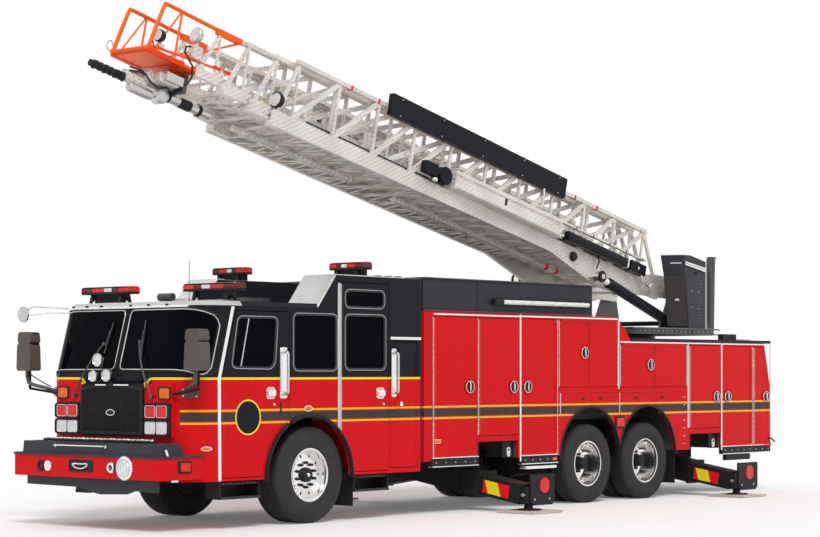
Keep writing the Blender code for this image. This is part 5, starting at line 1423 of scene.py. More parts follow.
def cab_sides():
    def pillar(shape):
        strip = [(-1.318, 2.477), (-1.27, 2.477), (-1.483, 1.679), (-1.475, 0.545), (-1.52, 0.545),
                 (-1.531, 1.679)]
        on_skin(shape, -0.002, 0.006, strip)
        on_skin(shape, -0.01, 0.02, oblong((1.326, 1.878), (2.138, 2.172)))
        on_skin(shape.on(1), -0.002, 0.008, rounded((0.408, 0.455), (1.05, 2.79), 0.006))
        shape.tube([(SIDE + 0.008, 0.458, 1.06), (SIDE + 0.008, 0.458, 2.78)], 0.008, 8)
        for i in range(36):
            shape.drum("X", (SIDE, 0.428, 1.08 + 1.68 * i / 35), 0.006, (0.006, 0.011), 8)
        for level in (0.62, 0.85, 1.1, 1.35, 1.6):
            shape.drum("X", (SIDE, -1.497, level), 0.006, (0.004, 0.009), 8)

    sided("cab_strips", None, pillar, "bright steel", 0.002)

    def markers(shape):
        shape.on(0).ball((SIDE + 0.002, -0.085, 1.33), (0.022, 0.055, 0.026), 20, 10)
        on_skin(shape.on(1), -0.002, 0.006, ellipse((-0.085, 1.33), 0.068, 0.036, 24))
        keep = shape.matrix
        shape.matrix = keep @ Matrix.Translation((1.2225, -1.672,
                                                  0.905)) @ Matrix.Rotation(radians(66), 4, "Z")
        shape.prism("Y", (-0.008, 0.006), ellipse((0, 0), 0.066, 0.026, 24))
        shape.on(0).ball((0, -0.006, 0), (0.054, 0.012, 0.018), 20, 8)
        shape.matrix = keep

    sided("marker_lamps", None, markers, "amber_lens alloy", 0.002)

    metal_pair = "alloy steel"

    def front_door(shape):
        door_handle(shape, -0.705, 1.512)
        grab_rail(shape, -0.49, (-0.55, -0.437), (1.5, 1.98))

    sided("front_door_fittings", "front_door_{}", front_door, metal_pair, 0.002)

    def roundel(shape):
        on_skin(shape, -0.001, 0.0012, circle((-1.058, 1.243), 0.2, 48))
        on_skin(shape.on(1), -0.001, 0.002, circle((-1.058, 1.243), 0.182, 48))
        on_skin(shape.on(2), 0, 0.006, rounded((-0.548, -0.524), (1.285, 1.41), 0.01))

    sided("front_door_roundel", "front_door_{}", roundel, "yellow black seal")

    def crew_door(shape):
        door_handle(shape, 1.152, 1.498)

    sided("crew_door_fittings", "crew_door_{}", crew_door, metal_pair, 0.002)

    def rear_door(shape):
        grab_rail(shape, 1.4, (1.357, 1.443), (1.5, 1.98))
        on_skin(shape.on(0), 0, 0.012, rounded((1.5, 1.556), (1.335, 1.393), 0.026))

    sided("cab_locker_door_fittings", "cab_locker_door_{}", rear_door, metal_pair, 0.002)
    sided("flare_middle", None, lambda shape: flare(shape, 44.5, 117), "seal", 0.006)
    sided("flare_front", "front_door_{}", lambda shape: flare(shape, 119.8, 181), "seal", 0.006)
    sided("flare_rear", "crew_door_{}", lambda shape: flare(shape, -1, 42), "seal", 0.006)

    def steps(shape):
        step_well(shape, -1.46, -0.84, 0.335, 0.535)
        step_well(shape, 0.725, 1.34, 0.335, 0.535)
        shape.on(2).box((0.8, 1.21), (0.712, 0.72), (0.17, 0.6))

    sided("cab_steps", None, steps, "frame dark_steel seal", 0.003)


# Body

LockerDoor = namedtuple("LockerDoor", "number front rear low high hinge hand_y hand_z seam")
LOCKER_DOORS = [LockerDoor(*row) for row in (
    (1, 2.135, 2.97, 0.674, 2.432, "front", 2.818, 1.563, None),
    (2, 3.006, 3.816, 0.95, 2.426, "front", 3.703, 1.559, None),
    (3, 3.874, 4.614, 0.674, 2.432, "rear", 3.993, 1.558, None),
    (4, 4.676, 5.97, 1.554, 2.442, "both", 5.223, 2.006, 5.32),
    (5, 6.046, 7.636, 1.548, 2.137, "both", 6.753, 1.852, 6.85),
    (6, 7.732, 8.516, 0.952, 2.126, "front", 8.409, 1.396, None),
    (7, 8.564, 9.347, 0.676, 2.122, "rear", 8.698, 1.394, None),
    (8, 9.415, 9.816, 0.676, 2.116, "front", 9.733, 1.386, None),
)]
SILLS = ((2.09, 2.985, 0.578), (3.862, 4.63, 0.56), (8.557, 9.85, 0.56))     # front Y, rear Y, low Z
ARCHES = ((5.375, 8, 181), (6.705, -1, 172))
ARCH_Z, ARCH_R = 0.615, 0.67


def locker_doors():
    for door in LOCKER_DOORS:
        def fittings(shape):
            shape.lathe("X", (1.265, door.hand_y, door.hand_z),
                        [(0.004, 0), (0.003, 0.05), (0.006, 0.06), (0, 0.078), (-0.004, 0.078),
                         (-0.004, 0)], 36)
            shape.on(1).lathe("X", (1.265, door.hand_y, door.hand_z),
                              [(0, 0.068), (0.01, 0.07), (0.01, 0.077), (0, 0.08)], 36)
            shape.tube([(1.275, door.hand_y, door.hand_z + 0.052),
                        (1.289, door.hand_y - 0.012, door.hand_z + 0.026),
                        (1.291, door.hand_y - 0.014, door.hand_z),
                        (1.289, door.hand_y - 0.012, door.hand_z - 0.026),
                        (1.275, door.hand_y, door.hand_z - 0.052)], 0.01, 8)
            shape.slot = 2
            if door.seam:
                shape.box((1.264, 1.2665), about(door.seam, 0.004), (door.low + 0.01, door.high - 0.01))
        sided(f"locker_{door.number}_handle", f"locker_{door.number}_door_{{}}", fittings,
              "trim alloy seal", 0.001)


def body_strips():
    def bright(shape):
        for y, low, high in ((3.845, 0.6, 2.486), (8.54, 0.62, 2.165)):
            on_skin(shape, -0.002, 0.014, rounded(about(y, 0.014), (low, high), 0.005, 2))
        for y, low, high in ((6.006, 1.52, 2.47), (7.683, 0.96, 2.16), (9.866, 0.7, 2.16)):
            on_skin(shape, -0.002, 0.009, rounded(about(y, 0.01), (low, high), 0.004, 2))
        for y0, y1, z in ((2.13, 3.83, 2.452), (3.862, 5.99, 2.456), (6.04, 8.52, 2.148),
                          (8.557, 9.83, 2.146)):
            on_skin(shape, -0.002, 0.01, rounded((y0, y1), (z, z + 0.02), 0.005, 2))
        for y0, y1, low in SILLS:
            for z in (low, low + 0.108):
                on_skin(shape, -0.05, 0.024, oblong((y0, y1), (z, z + 0.012)))
        on_skin(shape, -0.05, 0.055, rounded((3.9, 4.55), (0.5, 0.535), 0.01, 2))
        shape.slot = 1
        for y0, y1, low in SILLS:
            on_skin(shape, -0.05, 0.016, oblong((y0, y1), (low + 0.01, low + 0.11)))
        on_skin(shape, -0.05, 0.012, oblong((8.66, 9.3), (0.47, 0.556)))
        shape.box((1.02, 1.19), (3.92, 4.5), (0.505, 0.65))

    sided("body_strips", None, bright, "bright trim", 0.002)

    def small(shape):
        for y0, y1, low in SILLS:
            for y in spread(y0 + 0.07, y1 - 0.07, int((y1 - y0) / 0.15)):
                shape.drum("X", (SIDE, y, low + 0.055), 0.01, (0.014, 0.021), 8)
        for door in LOCKER_DOORS:
            before, behind = door.front - 0.012, door.rear + 0.012
            for place in {"front": (before,), "rear": (behind,), "both": (before, behind)}[door.hinge]:
                shape.tube([(SIDE + 0.009, place, z) for z in (door.low + 0.02, door.high - 0.02)], 0.0065,
                           8)
                shape.box((SIDE - 0.002, SIDE + 0.005), about(place, 0.01),
                          (door.low + 0.01, door.high - 0.01))
                for z in spread(door.low + 0.05, door.high - 0.05, int((door.high - door.low) / 0.075)):
                    shape.drum("X", (SIDE, place, z), 0.009, (0.004, 0.017), 8)
        for z in spread(0.74, 1.4, 7):
            for y in (7.575, 7.6):
                shape.drum("X", (SIDE, y, z), 0.009, (-0.002, 0.006), 8)
        for y in (4.7, 6.03):
            on_skin(shape, -0.002, 0.004, rounded(about(y, 0.009), (1.2, 1.47), 0.004, 2))

    sided("body_hinges_and_bolts", None, small, "steel")

    def black(shape):
        for y, start, end in ARCHES:
            on_skin(shape, -0.03, 0.008, band((y, ARCH_Z), ARCH_R + 0.018, ARCH_R - 0.012, start, end, 40))
        for y in (5.6, 5.2, 6.42, 7.05):
            on_skin(shape, -0.002, 0.006, rounded(about(y, 0.03), (1.38, 1.412), 0.008, 2))
        for y0, y1 in ((4.72, 6.01), (6.05, 7.6)):
            shape.box(about(SIDE, 0.001), (y0, y1), (1.468, 1.473))
        for y, start, end in ARCHES:
            shape.box(about(SIDE, 0.001), about(y, 0.002), (1.3, 1.468))
        shape.box(about(SIDE, 0.001), (2.988, 2.994), (2.51, 2.9))
        on_skin(shape, -0.1, 0.016, rounded((6.3, 9.86), (2.172, 2.214), 0.006, 2))
        on_skin(shape, -0.05, -0.004, [(5.99, 2.42), (5.99, 2.18), (6.22, 2.18)])
        shape.box((0.6, 1.215), (7.4, 7.412), (0.19, 0.66))
        on_skin(shape, -0.002, 0.014, rounded((5.925, 6.145), (0.985, 1.15), 0.015))
        shape.box((SIDE - 0.12, SIDE - 0.03), (8.64, 8.99), (2.212, 2.3))

    sided("body_black_trim", None, black, "trim", 0.002)

    def lamps(shape):
        on_skin(shape, 0, 0.024, rounded((5.95, 6.12), (1.01, 1.125), 0.008))
        on_skin(shape, 0, 0.026, rounded((9.66, 9.86), (0.655, 0.687), 0.012))
        shape.slot = 1
        for y, z, half in ((2.195, 0.895, 0.065), (4.56, 0.615, 0.045)):
            on_skin(shape, 0, 0.022, rounded((y - half, y + half), about(z, 0.018), 0.016))
        shape.slot = 2
        for y, z, half in ((2.195, 0.895, 0.075), (4.56, 0.615, 0.055)):
            on_skin(shape, 0, 0.012, rounded((y - half, y + half), about(z, 0.026), 0.022))
        shape.on(3).drum("Y", (SIDE + 0.035, 3.44, 2.638), 0.03, (0, 1.83), 20)
        shape.on(4).prism("Y", (3.27, 5.3),
                          [(SIDE - 0.002, 2.598), (SIDE + 0.03, 2.598), (SIDE + 0.022, 2.612),
                           (SIDE + 0.012, 2.66), (SIDE + 0.03, 2.682), (SIDE - 0.002, 2.682)])
        shape.drum("Y", (SIDE + 0.035, 3.27, 2.638), 0.038, (0, 0.17), 20)
        shape.drum("Y", (SIDE + 0.035, 5.27, 2.638), 0.038, (0, 0.04), 20)
        shape.tube([(SIDE, 9.8, 0.78), (SIDE + 0.05, 9.83, 0.76), (SIDE + 0.09, 9.86, 0.71)], 0.012, 8)

    sided("body_lamps", None, lamps, "red_lens amber_lens alloy white_lens trim", 0.003)

    def edges(shape):
        for z in (2.498, 2.897):
            on_skin(shape, -0.004, 0.01, oblong((1.956, 5.42), (z, z + 0.014)))
        shape.box((SIDE - 0.05, SIDE + 0.006), (1.956, 5.42), (2.904, 2.9098))

    sided("side_box_edges", None, edges, "dark_steel", 0.002)

    top = Shape()
    top.box((-0.7, 0.7), (8.95, 9.8), (2.1755, 2.184))
    top.box((-1.12, 1.12), (8.8, 9.84), (2.1755, 2.18))
    top.slot = 1
    for x in (-1, 1):
        top.tube([(x, 8.95, 2.18), (x, 8.95, 2.225), (x, 9.7, 2.225), (x, 9.7, 2.18)], 0.014, 8)
    for x in (-0.62, -0.4, 0.4, 0.62):
        for y in (9, 9.35, 9.7):
            top.drum("Z", (x, y, 2.184), 0.012, (-0.004, 0.006), 8)
    piece("rear_deck_trim", ROOT, top, "tread steel", 0.003)

    def brace(shape):
        on_skin(shape, -0.045, -0.0005, [(5.99, 2.49), (5.99, 2.425), (6.235, 2.177), (6.305, 2.177)])

    sided("body_brace", None, brace, "red", 0.002)


# Ladder

LADDER = Matrix.Translation((0, *LADDER_PIVOT)) @ Matrix.Rotation(-LADDER_TILT, 4, "X")
SIGN_BOARD = ((2.93, 6.6), (0.51, 0.78))
NOZZLE_FROM = 10.21     # how far along the ladder the black nozzle begins


def ladder_place(point):
    """X, the distance along the ladder and the height above its pivot's line."""
    local = LADDER.inverted() @ point
    return local.x, -local.y, local.z


def ladder_paints():
    def board(p):
        x, s, h = ladder_place(p)
        return abs(x) > 0.571 and 2.9 < s < 6.63 and h > 0.505

    second_paint("base_section", "black", board)

    def orange(p):
        x, s, h = ladder_place(p)
        return (s > 9.58 and h > 0.02) or (s > 8.93 and h > 0.615 and abs(x) < 0.32)

    def water(p):
        _, s, h = ladder_place(p)
        return 8.99 < s < NOZZLE_FROM and h < -0.17

    def nozzle(p):
        _, s, h = ladder_place(p)
        return s >= NOZZLE_FROM and h < -0.17

    second_paint("fly_section", "orange", orange)
    second_paint("fly_section", "steel", water)
    second_paint("fly_section", "trim", nozzle)


def at(x, s, h):
    return (x, -s, h)


def tip_rails():
    shape = Shape(LADDER)
    for side in (1, -1):
        x = 0.3 * side
        shape.slot = 0
        hoop = [at(x, 8.96, 0.643), at(x, 9.4, 0.648), at(x, 10.13, 0.663), at(x, 10.185, 0.658),
                at(x, 10.208, 0.628), at(x, 10.225, 0.57), at(x, 10.28, 0.34), at(x, 10.333, 0.1)]
        shape.box(about(x, 0.031), (-9.36, -8.97), (0.597, 0.6635))
        shape.tube(hoop, 0.0235, 12)
        shape.tube([at(x, 9.93, 0.66), at(x, 9.93, 0.12)], 0.0135, 10)
        shape.tube([at(x, 9.94, 0.65), at(x, 10.24, 0.12)], 0.011, 10)
        shape.tube([at(x, 9.8, 0.17), at(x, 8.98, 0.615)], 0.013, 10)
        shape.tube([at(x, 10.33, 0.12), at(x, 9.8, 0.165), at(x, 9.25, 0.205)], 0.016, 10)
        shape.ball(at(x, 10.335, 0.1), (0.034, 0.034, 0.034), 14, 8)
        shape.on(1).prism("X", about(x, 0.03),
                          [(-10.335, 0.085), (-9.79, 0.1), (-9.79, 0.05), (-9.84, 0.035), (-10.335, 0.045)])
        for s in (9.28, 9.12):
            shape.box((x - 0.016, x + 0.034), about(-s, 0.05), (0.196, 0.222))
    shape.on(0).tube([at(-0.3, 10.335, 0.095), at(0.3, 10.335, 0.095)], 0.024, 12)
    shape.tube([at(-0.3, 9.82, 0.1), at(0.3, 9.82, 0.1)], 0.018, 10)
    shape.on(1).box((-0.26, 0.26), (-9.9, -9.8), (0.042, 0.062))
    for x in (-0.14, 0.04):
        shape.tube([at(x, 10.1, 0.09), at(x + 0.02, 10.02, 0.17), at(x + 0.07, 9.96, 0.17),
                    at(x + 0.09, 9.96, 0.08)], 0.012, 8)
    shape.on(2).tube([at(-0.31, s, h) for s, h in ellipse((10.385, 0.155), 0.045, 0.058, 20)], 0.008, 8,
                     True)
    piece("tip_rails", BODY_OF["fly_section"], shape, "orange orange_red steel", 0)


def monitor_look():
    """Water monitor: stacked black nozzle, white barrel, geared elbow and the coupled pipe behind it."""
    shape = Shape(LADDER)

    def turned(points, centre_h=-0.25, x=0.0, steps=28):
        """Each point is a distance along the ladder and a radius."""
        shape.lathe("Y", (x, 0, centre_h), [(-s, r) for s, r in points], steps)

    shape.slot = 0
    rings = [(10.872, 0), (10.872, 0.03), (10.868, 0.04)]
    for s in (10.8, 10.72, 10.64, 10.56, 10.48, 10.42):
        rings += [(s + 0.022, 0.036), (s + 0.02, 0.049), (s - 0.016, 0.052), (s - 0.018, 0.04)]
    turned(rings + [(10.37, 0.058), (10.36, 0)], -0.243)
    for s in (10.8, 10.64, 10.48):
        for turn in (0.6, 2.2, 3.9, 5.4):
            shape.ball((0.05 * cos(turn), -s, -0.243 + 0.05 * sin(turn)), (0.014, 0.016, 0.014), 8, 6)
    shape.slot = 1
    turned([(10.375, 0), (10.375, 0.066), (10.36, 0.074), (10.09, 0.08), (10.05, 0.07), (10.04, 0)], -0.215)
    shape.slot = 2
    turned([(10.28, 0), (10.275, 0.045), (10.25, 0.062), (10, 0.066), (9.93, 0.06), (9.92, 0)], -0.315)
    turned([(9.93, 0), (9.93, 0.05), (9.88, 0.066), (9.7, 0.066), (9.69, 0)], -0.27)
    shape.lathe("X", (0, -9.8, -0.275),
                [(-0.075, 0), (-0.075, 0.085), (-0.055, 0.098), (0.055, 0.098), (0.075, 0.085),
                 (0.085, 0.05), (0.085, 0)], 32)
    for turn in turns(16):
        shape.ball((0.078, -9.8 + 0.072 * cos(turn), -0.275 + 0.072 * sin(turn)), (0.01, 0.009, 0.009), 8,
                   4)
    turned([(9.665, 0), (9.665, 0.06), (9.5, 0.06), (9.5, 0)])
    turned([(9.325, 0), (9.325, 0.06), (9.2, 0.062), (9.2, 0)])
    turned([(9.16, 0), (9.16, 0.063), (9, 0.063), (9, 0)])
    shape.slot = 0
    turned([(9.685, 0), (9.685, 0.068), (9.66, 0.068), (9.66, 0)])
    turned([(9.505, 0), (9.505, 0.064), (9.32, 0.064), (9.32, 0)])
    turned([(9.205, 0), (9.205, 0.072), (9.16, 0.072), (9.16, 0)])
    shape.slot = 1
    for s, x, h, size in ((10.02, 0.02, -0.12, (0.1, 0.1, 0.07)), (9.86, 0.1, -0.12, (0.11, 0.15, 0.06)),
                          (9.7, -0.06, -0.1, (0.1, 0.12, 0.07))):
        shape.loft([[(x + size[0] * a * k, -s + size[1] * b * k, h + level) for a,
                     b in ((-1, -1), (1, -1), (1, 1), (-1, 1))] for level,
                    k in ((-size[2], 0.9), (-size[2] * 0.7, 1), (size[2] * 0.7, 1), (size[2], 0.86))])
    shape.on(2).box((0.13, 0.27), (-9.96, -9.7), (-0.16, -0.06))
    shape.on(3).box((-0.1, 0.2), (-9.64, -9.58), (-0.2, 0.02))
    for x in (-0.06, 0.06):
        shape.tube([at(x, 10.34, -0.165), at(x, 10.2, -0.13), at(x, 10.05, -0.13)], 0.016, 8)
    piece("monitor", BODY_OF["fly_section"], shape, "trim ladder steel dark_steel", 0.003)
    fine = Shape(LADDER)
    fine.tube([at(0.08, 10.36, -0.13), at(0.11, 10.2, -0.12), at(0.13, 10.05, -0.22), at(0.12, 9.92, -0.24),
               at(0.11, 9.8, -0.19), at(0.12, 9.7, -0.22)], 0.01, 8)
    fine.tube([at(0.3, 9.72, 0.32), at(0.31, 9.79, 0.29), at(0.31, 9.8, 0.22), at(0.31, 9.72, 0.16),
               at(0.32, 9.66, 0.1), at(0.31, 9.63, -0.03), at(0.28, 9.66, -0.12), at(0.22, 9.72, -0.14)],
              0.012, 8)
    fine.tube([at(0.3, 10.19, 0.14), at(0.31, 10.26, 0.12), at(0.31, 10.31, 0.2)], 0.009, 8)
    piece("tip_cables", BODY_OF["fly_section"], fine, "seal")


def tip_lamps():
    shape = Shape(LADDER)
    for s, h, radius, case in ((10.17, 0.275, 0.075, 2), (9.63, 0.475, 0.092, 0)):
        shape.on(case).lathe("Y", at(0.3, s, h),
                             [(-0.06, 0), (-0.058, radius * 0.92), (-0.05, radius), (-0.01, radius),
                              (0.02, radius * 0.75), (0.035, radius * 0.4), (0.037, 0)], 28)
        shape.on(1).lathe("Y", at(0.3, s, h),
                          [(-0.064, 0), (-0.063, radius * 0.84), (-0.055, radius * 0.84), (-0.055, 0)], 28)
        shape.on(2).tube([at(0.3, s, h - radius), at(0.3, s, h - radius - 0.05)], 0.015, 8)
    shape.on(3).box((0.245, 0.345), (-9.7, -9.56), (0.19, 0.345))
    shape.on(0).box((0.265, 0.335), (-10.21, -10.13), (0.14, 0.18))
    shape.tube([at(0.3, 9.63, 0.345), at(0.3, 9.63, 0.39)], 0.022, 10)
    piece("tip_lamps", BODY_OF["fly_section"], shape, "steel clear trim ladder", 0.004)


def sign_boards():
    (s0, s1), (h0, h1) = SIGN_BOARD
    shape = Shape()
    for _ in shape.both(LADDER):
        shape.on(0).prism("X", (0.629, 0.636),
                          rounded((-s1 - 0.004, -s0 + 0.004), (h0 - 0.004, h1 + 0.004), 0.012))
        shape.slot = 1
        for s in (3.1, 3.9, 4.75, 5.6, 6.42):
            shape.box((0.56, 0.632), about(-s, 0.02), (h1 + 0.002, h1 + 0.014))
            for h in (h0 + 0.03, h1 - 0.03):
                shape.drum("X", (0.636, -s, h), 0.009, (-0.002, 0.004), 8)
    piece("sign_boards", BODY_OF["base_section"], shape, "black steel", 0.002)


bumper_look()
cab_sides()
locker_doors()
body_strips()
ladder_paints()
tip_rails()
monitor_look()
tip_lamps()
sign_boards()

PIPE_H = -0.272      # the water pipe under the base section, in the ladder's own frame
RUNG_PITCH = 0.3556
LIFT_PIN = at(0, 2.023, -0.351)


def ladder_parts():
    """Side panel, cable tray, black reel beam, water pipe and marks of the sections."""
    base = BODY_OF["base_section"]
    panel = Shape()
    for _ in panel.both(LADDER):
        panel.on(0).prism("Y", (-5.28, -2.975),
                          [(0.56, 0.205), (0.66, 0.205), (0.672, 0.19), (0.672, 0.15), (0.65, 0.14),
                           (0.65, 0.045), (0.69, 0.03), (0.7, 0.01), (0.7, -0.03), (0.68, -0.055),
                           (0.56, -0.06)])
        for s in (2.985, 5.27):
            panel.box((0.56, 0.703), about(-s, 0.008), (-0.063, 0.21))
        panel.tube([at(0.66, 3.43, 0.5), at(0.67, 3.42, 0.3), at(0.67, 3.44, 0.245), at(0.67, 3.55, 0.215)],
                   0.014, 8)
        panel.box((0.6, 0.655), (-2.96, -0.9), (0.172, 0.196))
        panel.slot = 1
        for s in (2.6, 2.2, 1.8, 1.4, 1):
            panel.box((0.598, 0.658), about(-s, 0.012), (0.168, 0.199))
        panel.box((0.649, 0.653), (-4.19, -4.14), (0.048, 0.136))
        panel.on(2).prism("Y", (-2.8, -1.4),
                          [(0.612, 0.085), (0.69, 0.085), (0.7, 0.07), (0.7, -0.03), (0.69, -0.045),
                           (0.612, -0.045)])
        panel.box((0.6, 0.71), (-1.31, -0.95), (-0.06, 0.09))
        panel.box((0.57, 0.62), (-2.78, -0.98), (-0.03, 0.02))
        panel.lathe("X", at(0.57, 5.44, 0.06),
                    [(0, 0), (0, 0.11), (0.02, 0.12), (0.03, 0.1), (0.08, 0.1), (0.09, 0.12), (0.11, 0.11),
                     (0.11, 0)], 28)
        panel.box((0.575, 0.665), (-5.84, -5.6), (0, 0.15))
        panel.box((0.572, 0.6), (-5.62, -5.42), (-0.02, 0.03))
        panel.on(3).prism("Y", (-1.4, -1.37),
                          [(0.6, 0.095), (0.7, 0.095), (0.712, 0.08), (0.712, -0.04), (0.7, -0.055),
                           (0.6, -0.055)])
        panel.drum("X", at(0.708, 1.13, 0.015), 0.022, (0, 0.006), 16)
        panel.tube([at(0.66, 0.99, -0.05), at(0.66, 0.9, -0.14), at(0.64, 0.74, -0.16),
                    at(0.62, 0.66, -0.1)], 0.022, 10)
        panel.ball(at(0.63, 5.6, -0.03), (0.035, 0.05, 0.035), 14, 8)
        panel.on(1).lathe("X", at(0.575, 2.5, -0.19), [(0, 0), (0, 0.07), (0.045, 0.055), (0.06, 0)], 20)
        panel.tube([at(0.6, 1.96, -0.02), at(0.62, 1.95, -0.12), at(0.61, 1.98, -0.22)], 0.01, 8)
    piece("ladder_side_gear", base, panel, "ladder trim black alloy", 0.004)

    # Red marks in the glowing red lens material: their glow is painted light.
    marks = Shape()
    for _ in marks.both(LADDER):
        for s in (7.28, 6.77, 2.62, 2.1):
            marks.box((0.51, 0.5725), about(-s, 0.018), (0.595, 0.6525))
    piece("reflective_marks", base, marks, "red_lens")

    pipe = Shape(LADDER)
    front = [(8.6, 0), (8.6, 0.038), (8.45, 0.038), (8.44, 0.048), (8.38, 0.048), (8.37, 0.042),
             (6.5, 0.042), (6.5, 0)]
    rear = [(5.6, 0), (5.6, 0.046), (5.5, 0.05), (5.42, 0.05), (5.41, 0.046), (2.05, 0.046), (2.05, 0)]
    for steps in (front, rear):
        pipe.lathe("Y", at(0, 0, PIPE_H), [(-s, r) for s, r in steps], 24)
    for s, radius in ((6.5, 0.042), (5.6, 0.046)):
        pipe.ball(at(0, s, PIPE_H), (radius, radius, radius), 20, 12)
        pipe.tube([at(0, s, PIPE_H), at(0, s, -0.215)], radius, 20)
    # Two red bands on the pipe in the glowing red lens material: their glow is painted light.
    pipe.slot = 1
    for s in (2.36, 2.12):
        pipe.lathe("Y", at(0, s, PIPE_H), [(-0.03, 0.047), (-0.03, 0.052), (0.03, 0.052), (0.03, 0.047)],
                   24)
    pipe.slot = 2
    for s in (8.2, 6.9, 5.6, 4.3, 3):
        pipe.box((-0.035, 0.035), about(-s, 0.03), (PIPE_H + 0.03, -0.222))
        pipe.box((-0.1, 0.1), about(-s, 0.03), (-0.262, -0.23))
    piece("water_pipe", base, pipe, "ladder red_lens steel", 0.002)

    for name, half, low, start, end in (("base_section", 0.54, -0.238, 2.7, 8.2),
                                        ("outer_mid_section", 0.455, -0.15, 1.2, 8.5),
                                        ("inner_mid_section", 0.375, -0.06, 1.4, 8.9),
                                        ("fly_section", 0.295, 0.03, 1.6, 9.3)):
        brace = Shape(LADDER)
        for i in range(int((end - start) / RUNG_PITCH)):
            s = start + i * RUNG_PITCH
            for side in (1, -1):
                brace.tube([at(side * half, s, low), at(0, s + 0.17, low)], 0.011, 6)
                brace.tube([at(0, s + 0.17, low), at(side * half, s + 0.34, low)], 0.011, 6)
        piece(f"braces_{name}", BODY_OF[name], brace, "ladder")

    lines = Shape()
    for _ in lines.both(LADDER):
        lines.on(0).box((0.486, 0.497), (-7.88, -0.9), (-0.01, 0.004))
        lines.on(1).box((0.484, 0.492), (-8.62, -5.2), (-0.125, -0.11))
        for s in (8.3, 7.9, 7.5, 7.1, 6.7, 6.3, 5.9):
            lines.drum("X", at(0.486, s, -0.06), 0.011, (-0.002, 0.004), 8)
    piece("outer_mid_lines", BODY_OF["outer_mid_section"], lines, "seal steel")
    spot = Shape()
    for _ in spot.both(LADDER):
        spot.on(0).lathe("Y", at(0.535, 8.44, 0.075),
                         [(-0.055, 0.085), (-0.05, 0.098), (-0.02, 0.098), (0.03, 0.08), (0.05, 0),
                          (-0.03, 0), (-0.04, 0.085)], 28)
        spot.on(1).lathe("Y", at(0.535, 8.44, 0.075),
                         [(-0.052, 0), (-0.05, 0.084), (-0.035, 0.084), (-0.035, 0)], 28)
        spot.on(2).box((0.49, 0.53), (-8.46, -8.42), (-0.05, 0.02))
        spot.slot = 3
        for s, x, h in ((8.64, 0.488, -0.035), (8.66, 0.488, 0.06)):
            spot.drum("X", at(x, s, h), 0.016, (-0.002, 0.003), 14)
    piece("section_lamps", BODY_OF["outer_mid_section"], spot, "trim clear steel yellow", 0.002)

    ends = Shape()
    for _ in ends.both(LADDER):
        ends.lathe("X", LIFT_PIN, [(0.752, 0), (0.752, 0.082), (0.78, 0.078), (0.786, 0.04), (0.786, 0)],
                   24)
        ends.on(1).lathe("X", LIFT_PIN, [(0.785, 0), (0.785, 0.036), (0.792, 0.032), (0.794, 0)], 20)
        ends.slot = 0
    piece("lift_pin_caps", base, ends, "trim ladder")


def console_face(a, z, out=0.0):
    """A place on the console's slanted front: a runs from the outer edge to the inner one."""
    return (1.1 - 0.3 * a + 0.42 * out, 7.94 - 0.14 * a - 0.14 * (z - 2.37) / 1.05 - 0.9 * out, z)


def turntable_look():
    body = BODY_OF["turntable"]
    front = Shape()
    for a, z, depth, slot in (((0.05, 0.93), (2.41, 3.13), 0.008, 0),
                              ((0.12, 0.6), (3.295, 3.315), 0.004, 1)):
        corners = oblong((a[0], a[1]), (z[0], z[1]))
        front.on(slot).loft([[console_face(p, q, -0.004) for p, q in corners],
                             [console_face(p, q, depth) for p, q in corners]])
    front.slot = 1
    latch = oblong((0.33, 0.5), (2.765, 2.8))
    front.loft([[console_face(p, q, 0.006) for p, q in latch],
                [console_face(p, q, 0.022) for p, q in latch]])
    for z in spread(2.476, 3.062, 14):
        front.drum("X", (1.1, 8.243, z), 0.006, (-0.002, 0.003), 8)
    for y, z in ((8.001, 2.91), (8.181, 2.899), (8.002, 2.673), (8.17, 2.66)):
        front.drum("X", (1.1, y, z), 0.009, (-0.002, 0.004), 8)
    front.slot = 2
    for high, low in (((3.33, 3.249), (3.306, 3.225)), ((3.3, 3.219), (3.276, 3.19))):
        front.prism("X", (1.1, 1.122),
                    [(7.822, high[0]), (8.333, high[1]), (8.333, low[1]), (7.822, low[0])])
    front.on(3).prism("X", (1.098, 1.112), [(7.812, 3.338), (8.343, 3.256), (8.343, 3.182), (7.812, 3.268)])
    front.drum("X", (1.1, 8.116, 3.165), 0.018, (0, 0.025), 12)
    front.tube([(1.05, 8.37, 2.53), (1.05, 8.415, 2.53), (1.05, 8.42, 2.52), (1.05, 8.42, 2.37)], 0.011, 8)
    front.prism("X", (1.099, 1.1025), oblong((8.262, 8.272), (2.46, 3.08)))
    piece("console_fittings", BODY_OF["console"], front, "console_door steel white_lens trim", 0.003)
    deck = Shape()
    deck.prism("X", (0.985, 1.003), [(8.66, 2.62), (8.545, 2.372), (8.66, 2.372)])
    deck.box((0.955, 1.045), (8.62, 8.7), (3.4, 3.425))
    deck.box((0.94, 1), (8.66, 8.8), (3.405, 3.428))
    deck.box((0.955, 1.045), (8.6, 8.615), (2.372, 3.4))
    for side in (1, -1):
        for z in (2.281, 2.352):
            deck.box((side * 1.118, side * 1.132), (6.53, 8.7), (z, z + 0.018))
    deck.on(1).box((-1.1, 1.1), (6.53, 8.7), (2.3705, 2.376))
    deck.slot = 2
    for i in range(18):
        y = 6.7 + 1.9 * i / 17
        for side in (1, -1):
            deck.drum("X", (side * 1.12, y, 2.325), 0.009, (-0.004, 0.006), 8)
    piece("turntable_edges", body, deck, "post_grey tread steel", 0.003)


SLOPE = radians(9.1)
OUTRIGGER = Matrix.Translation((-0.62, 0, 0.623)) @ Matrix.Rotation(SLOPE, 4, "Y")
PLATE_Z = (0.09, 0.475)
TAG_OFFSET = 0.2745     # from a station's middle to the middle of its tag


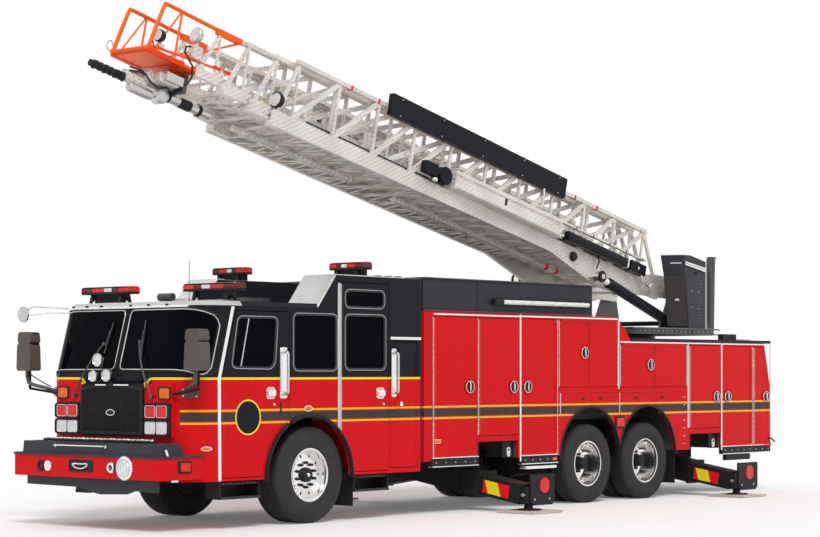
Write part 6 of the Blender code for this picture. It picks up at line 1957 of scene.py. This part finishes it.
def outrigger_looks():
    for place, middle_y in STATIONS:
        for label, side in SIDES:
            near = (middle_y - 0.321,
                    middle_y - 0.051) if side > 0 else (middle_y + 0.051, middle_y + 0.321)
            shape = Shape()
            flip = flipped(side)
            shape.matrix = flip @ OUTRIGGER
            for y, way in ((near[0], -1), (near[1], 1)):
                shape.on(0).box((1.905, 2.325), (y, y + way * 0.0002), (-0.085, 0.075))
                shape.on(1).prism("Y", sorted((y, y + way * 0.0004)),
                                  [(1.925, 0.075), (2.13, 0.075), (2.2, -0.085), (1.995, -0.085)])
            shape.matrix = flip
            # The oval reflector takes the glowing red lens material: its glow is painted light.
            shape.slot = 2
            oval = []
            for t in turns(48):
                radius = 0.098 * (1 - 0.09 * exp(-(sin(t) / 0.13) ** 2))
                oval.append((middle_y + 0.03 + radius * cos(t), 0.335 + radius * sin(t)))
            shape.prism("X", (1.96, 1.97), oval)
            shape.slot = 3
            for y in (-0.17, 0.13):
                shape.drum("X", (1.961, middle_y + y, 0.165), 0.014, (0, 0.008), 10)
            for y in (near[0] - 0.006, near[1] + 0.006):
                shape.drum("Y", (1.905, y, 0.225), 0.024, (-0.012, 0.012), 14)
            shape.on(4).prism("X", (1.926, 1.94),
                              rounded(about(middle_y, 0.235), (PLATE_Z[1] - 0.03, PLATE_Z[1]), 0.008))
            for y in (middle_y - 0.238, middle_y + 0.223):
                shape.prism("X", (1.926, 1.94),
                            oblong((y, y + 0.015), (PLATE_Z[0] + 0.06, PLATE_Z[1] - 0.01)))
            foot_y = sum(near) / 2
            for i in range(4):
                low_y = foot_y - 0.1 + 0.02 * i
                shape.prism("X", (1.879, 1.891),
                            [(low_y, 0.05), (low_y + 0.01, 0.05), (foot_y - 0.035, 0.19),
                             (foot_y - 0.045, 0.19)])
            piece(f"outrigger_fittings_{place}_{label}", f"outrigger_beam_{place}_{label}", shape,
                  "red_tape yellow_patch red_lens steel frame", 0)
            second_paint(f"outrigger_beam_{place}_{label}", "pad", lambda p: p.z < 0.0335)
            collar = Shape(flip @ OUTRIGGER)
            rect = oblong((near[0] - 0.025, near[1] + 0.025), (-0.15, 0.15))
            rim_faces(collar, "X", (1.5, 1.53), rect, 0.012)
            piece(f"outrigger_band_{place}_{label}", f"outrigger_housing_{place}_{label}", collar, "frame",
                  0.004)

    for label, side in SIDES:
        shape = Shape(flipped(side))
        for place, middle_y in STATIONS:
            y = middle_y + side * TAG_OFFSET - 0.1175
            shape.on(0).box((1.178, 1.188), (y, y + 0.235), (0.655, 0.868))
            shape.on(1).prism("X", (1.188, 1.193), rounded((y + 0.09, y + 0.16), (0.665, 0.79), 0.03))
            shape.on(2).drum("X", (1.192, y + 0.125, 0.755), 0.016, (0, 0.003), 14)
        piece(f"opening_tags_{label}", ROOT, shape, "trim white_lens black", 0.002)


ladder_parts()
turntable_look()
outrigger_looks()
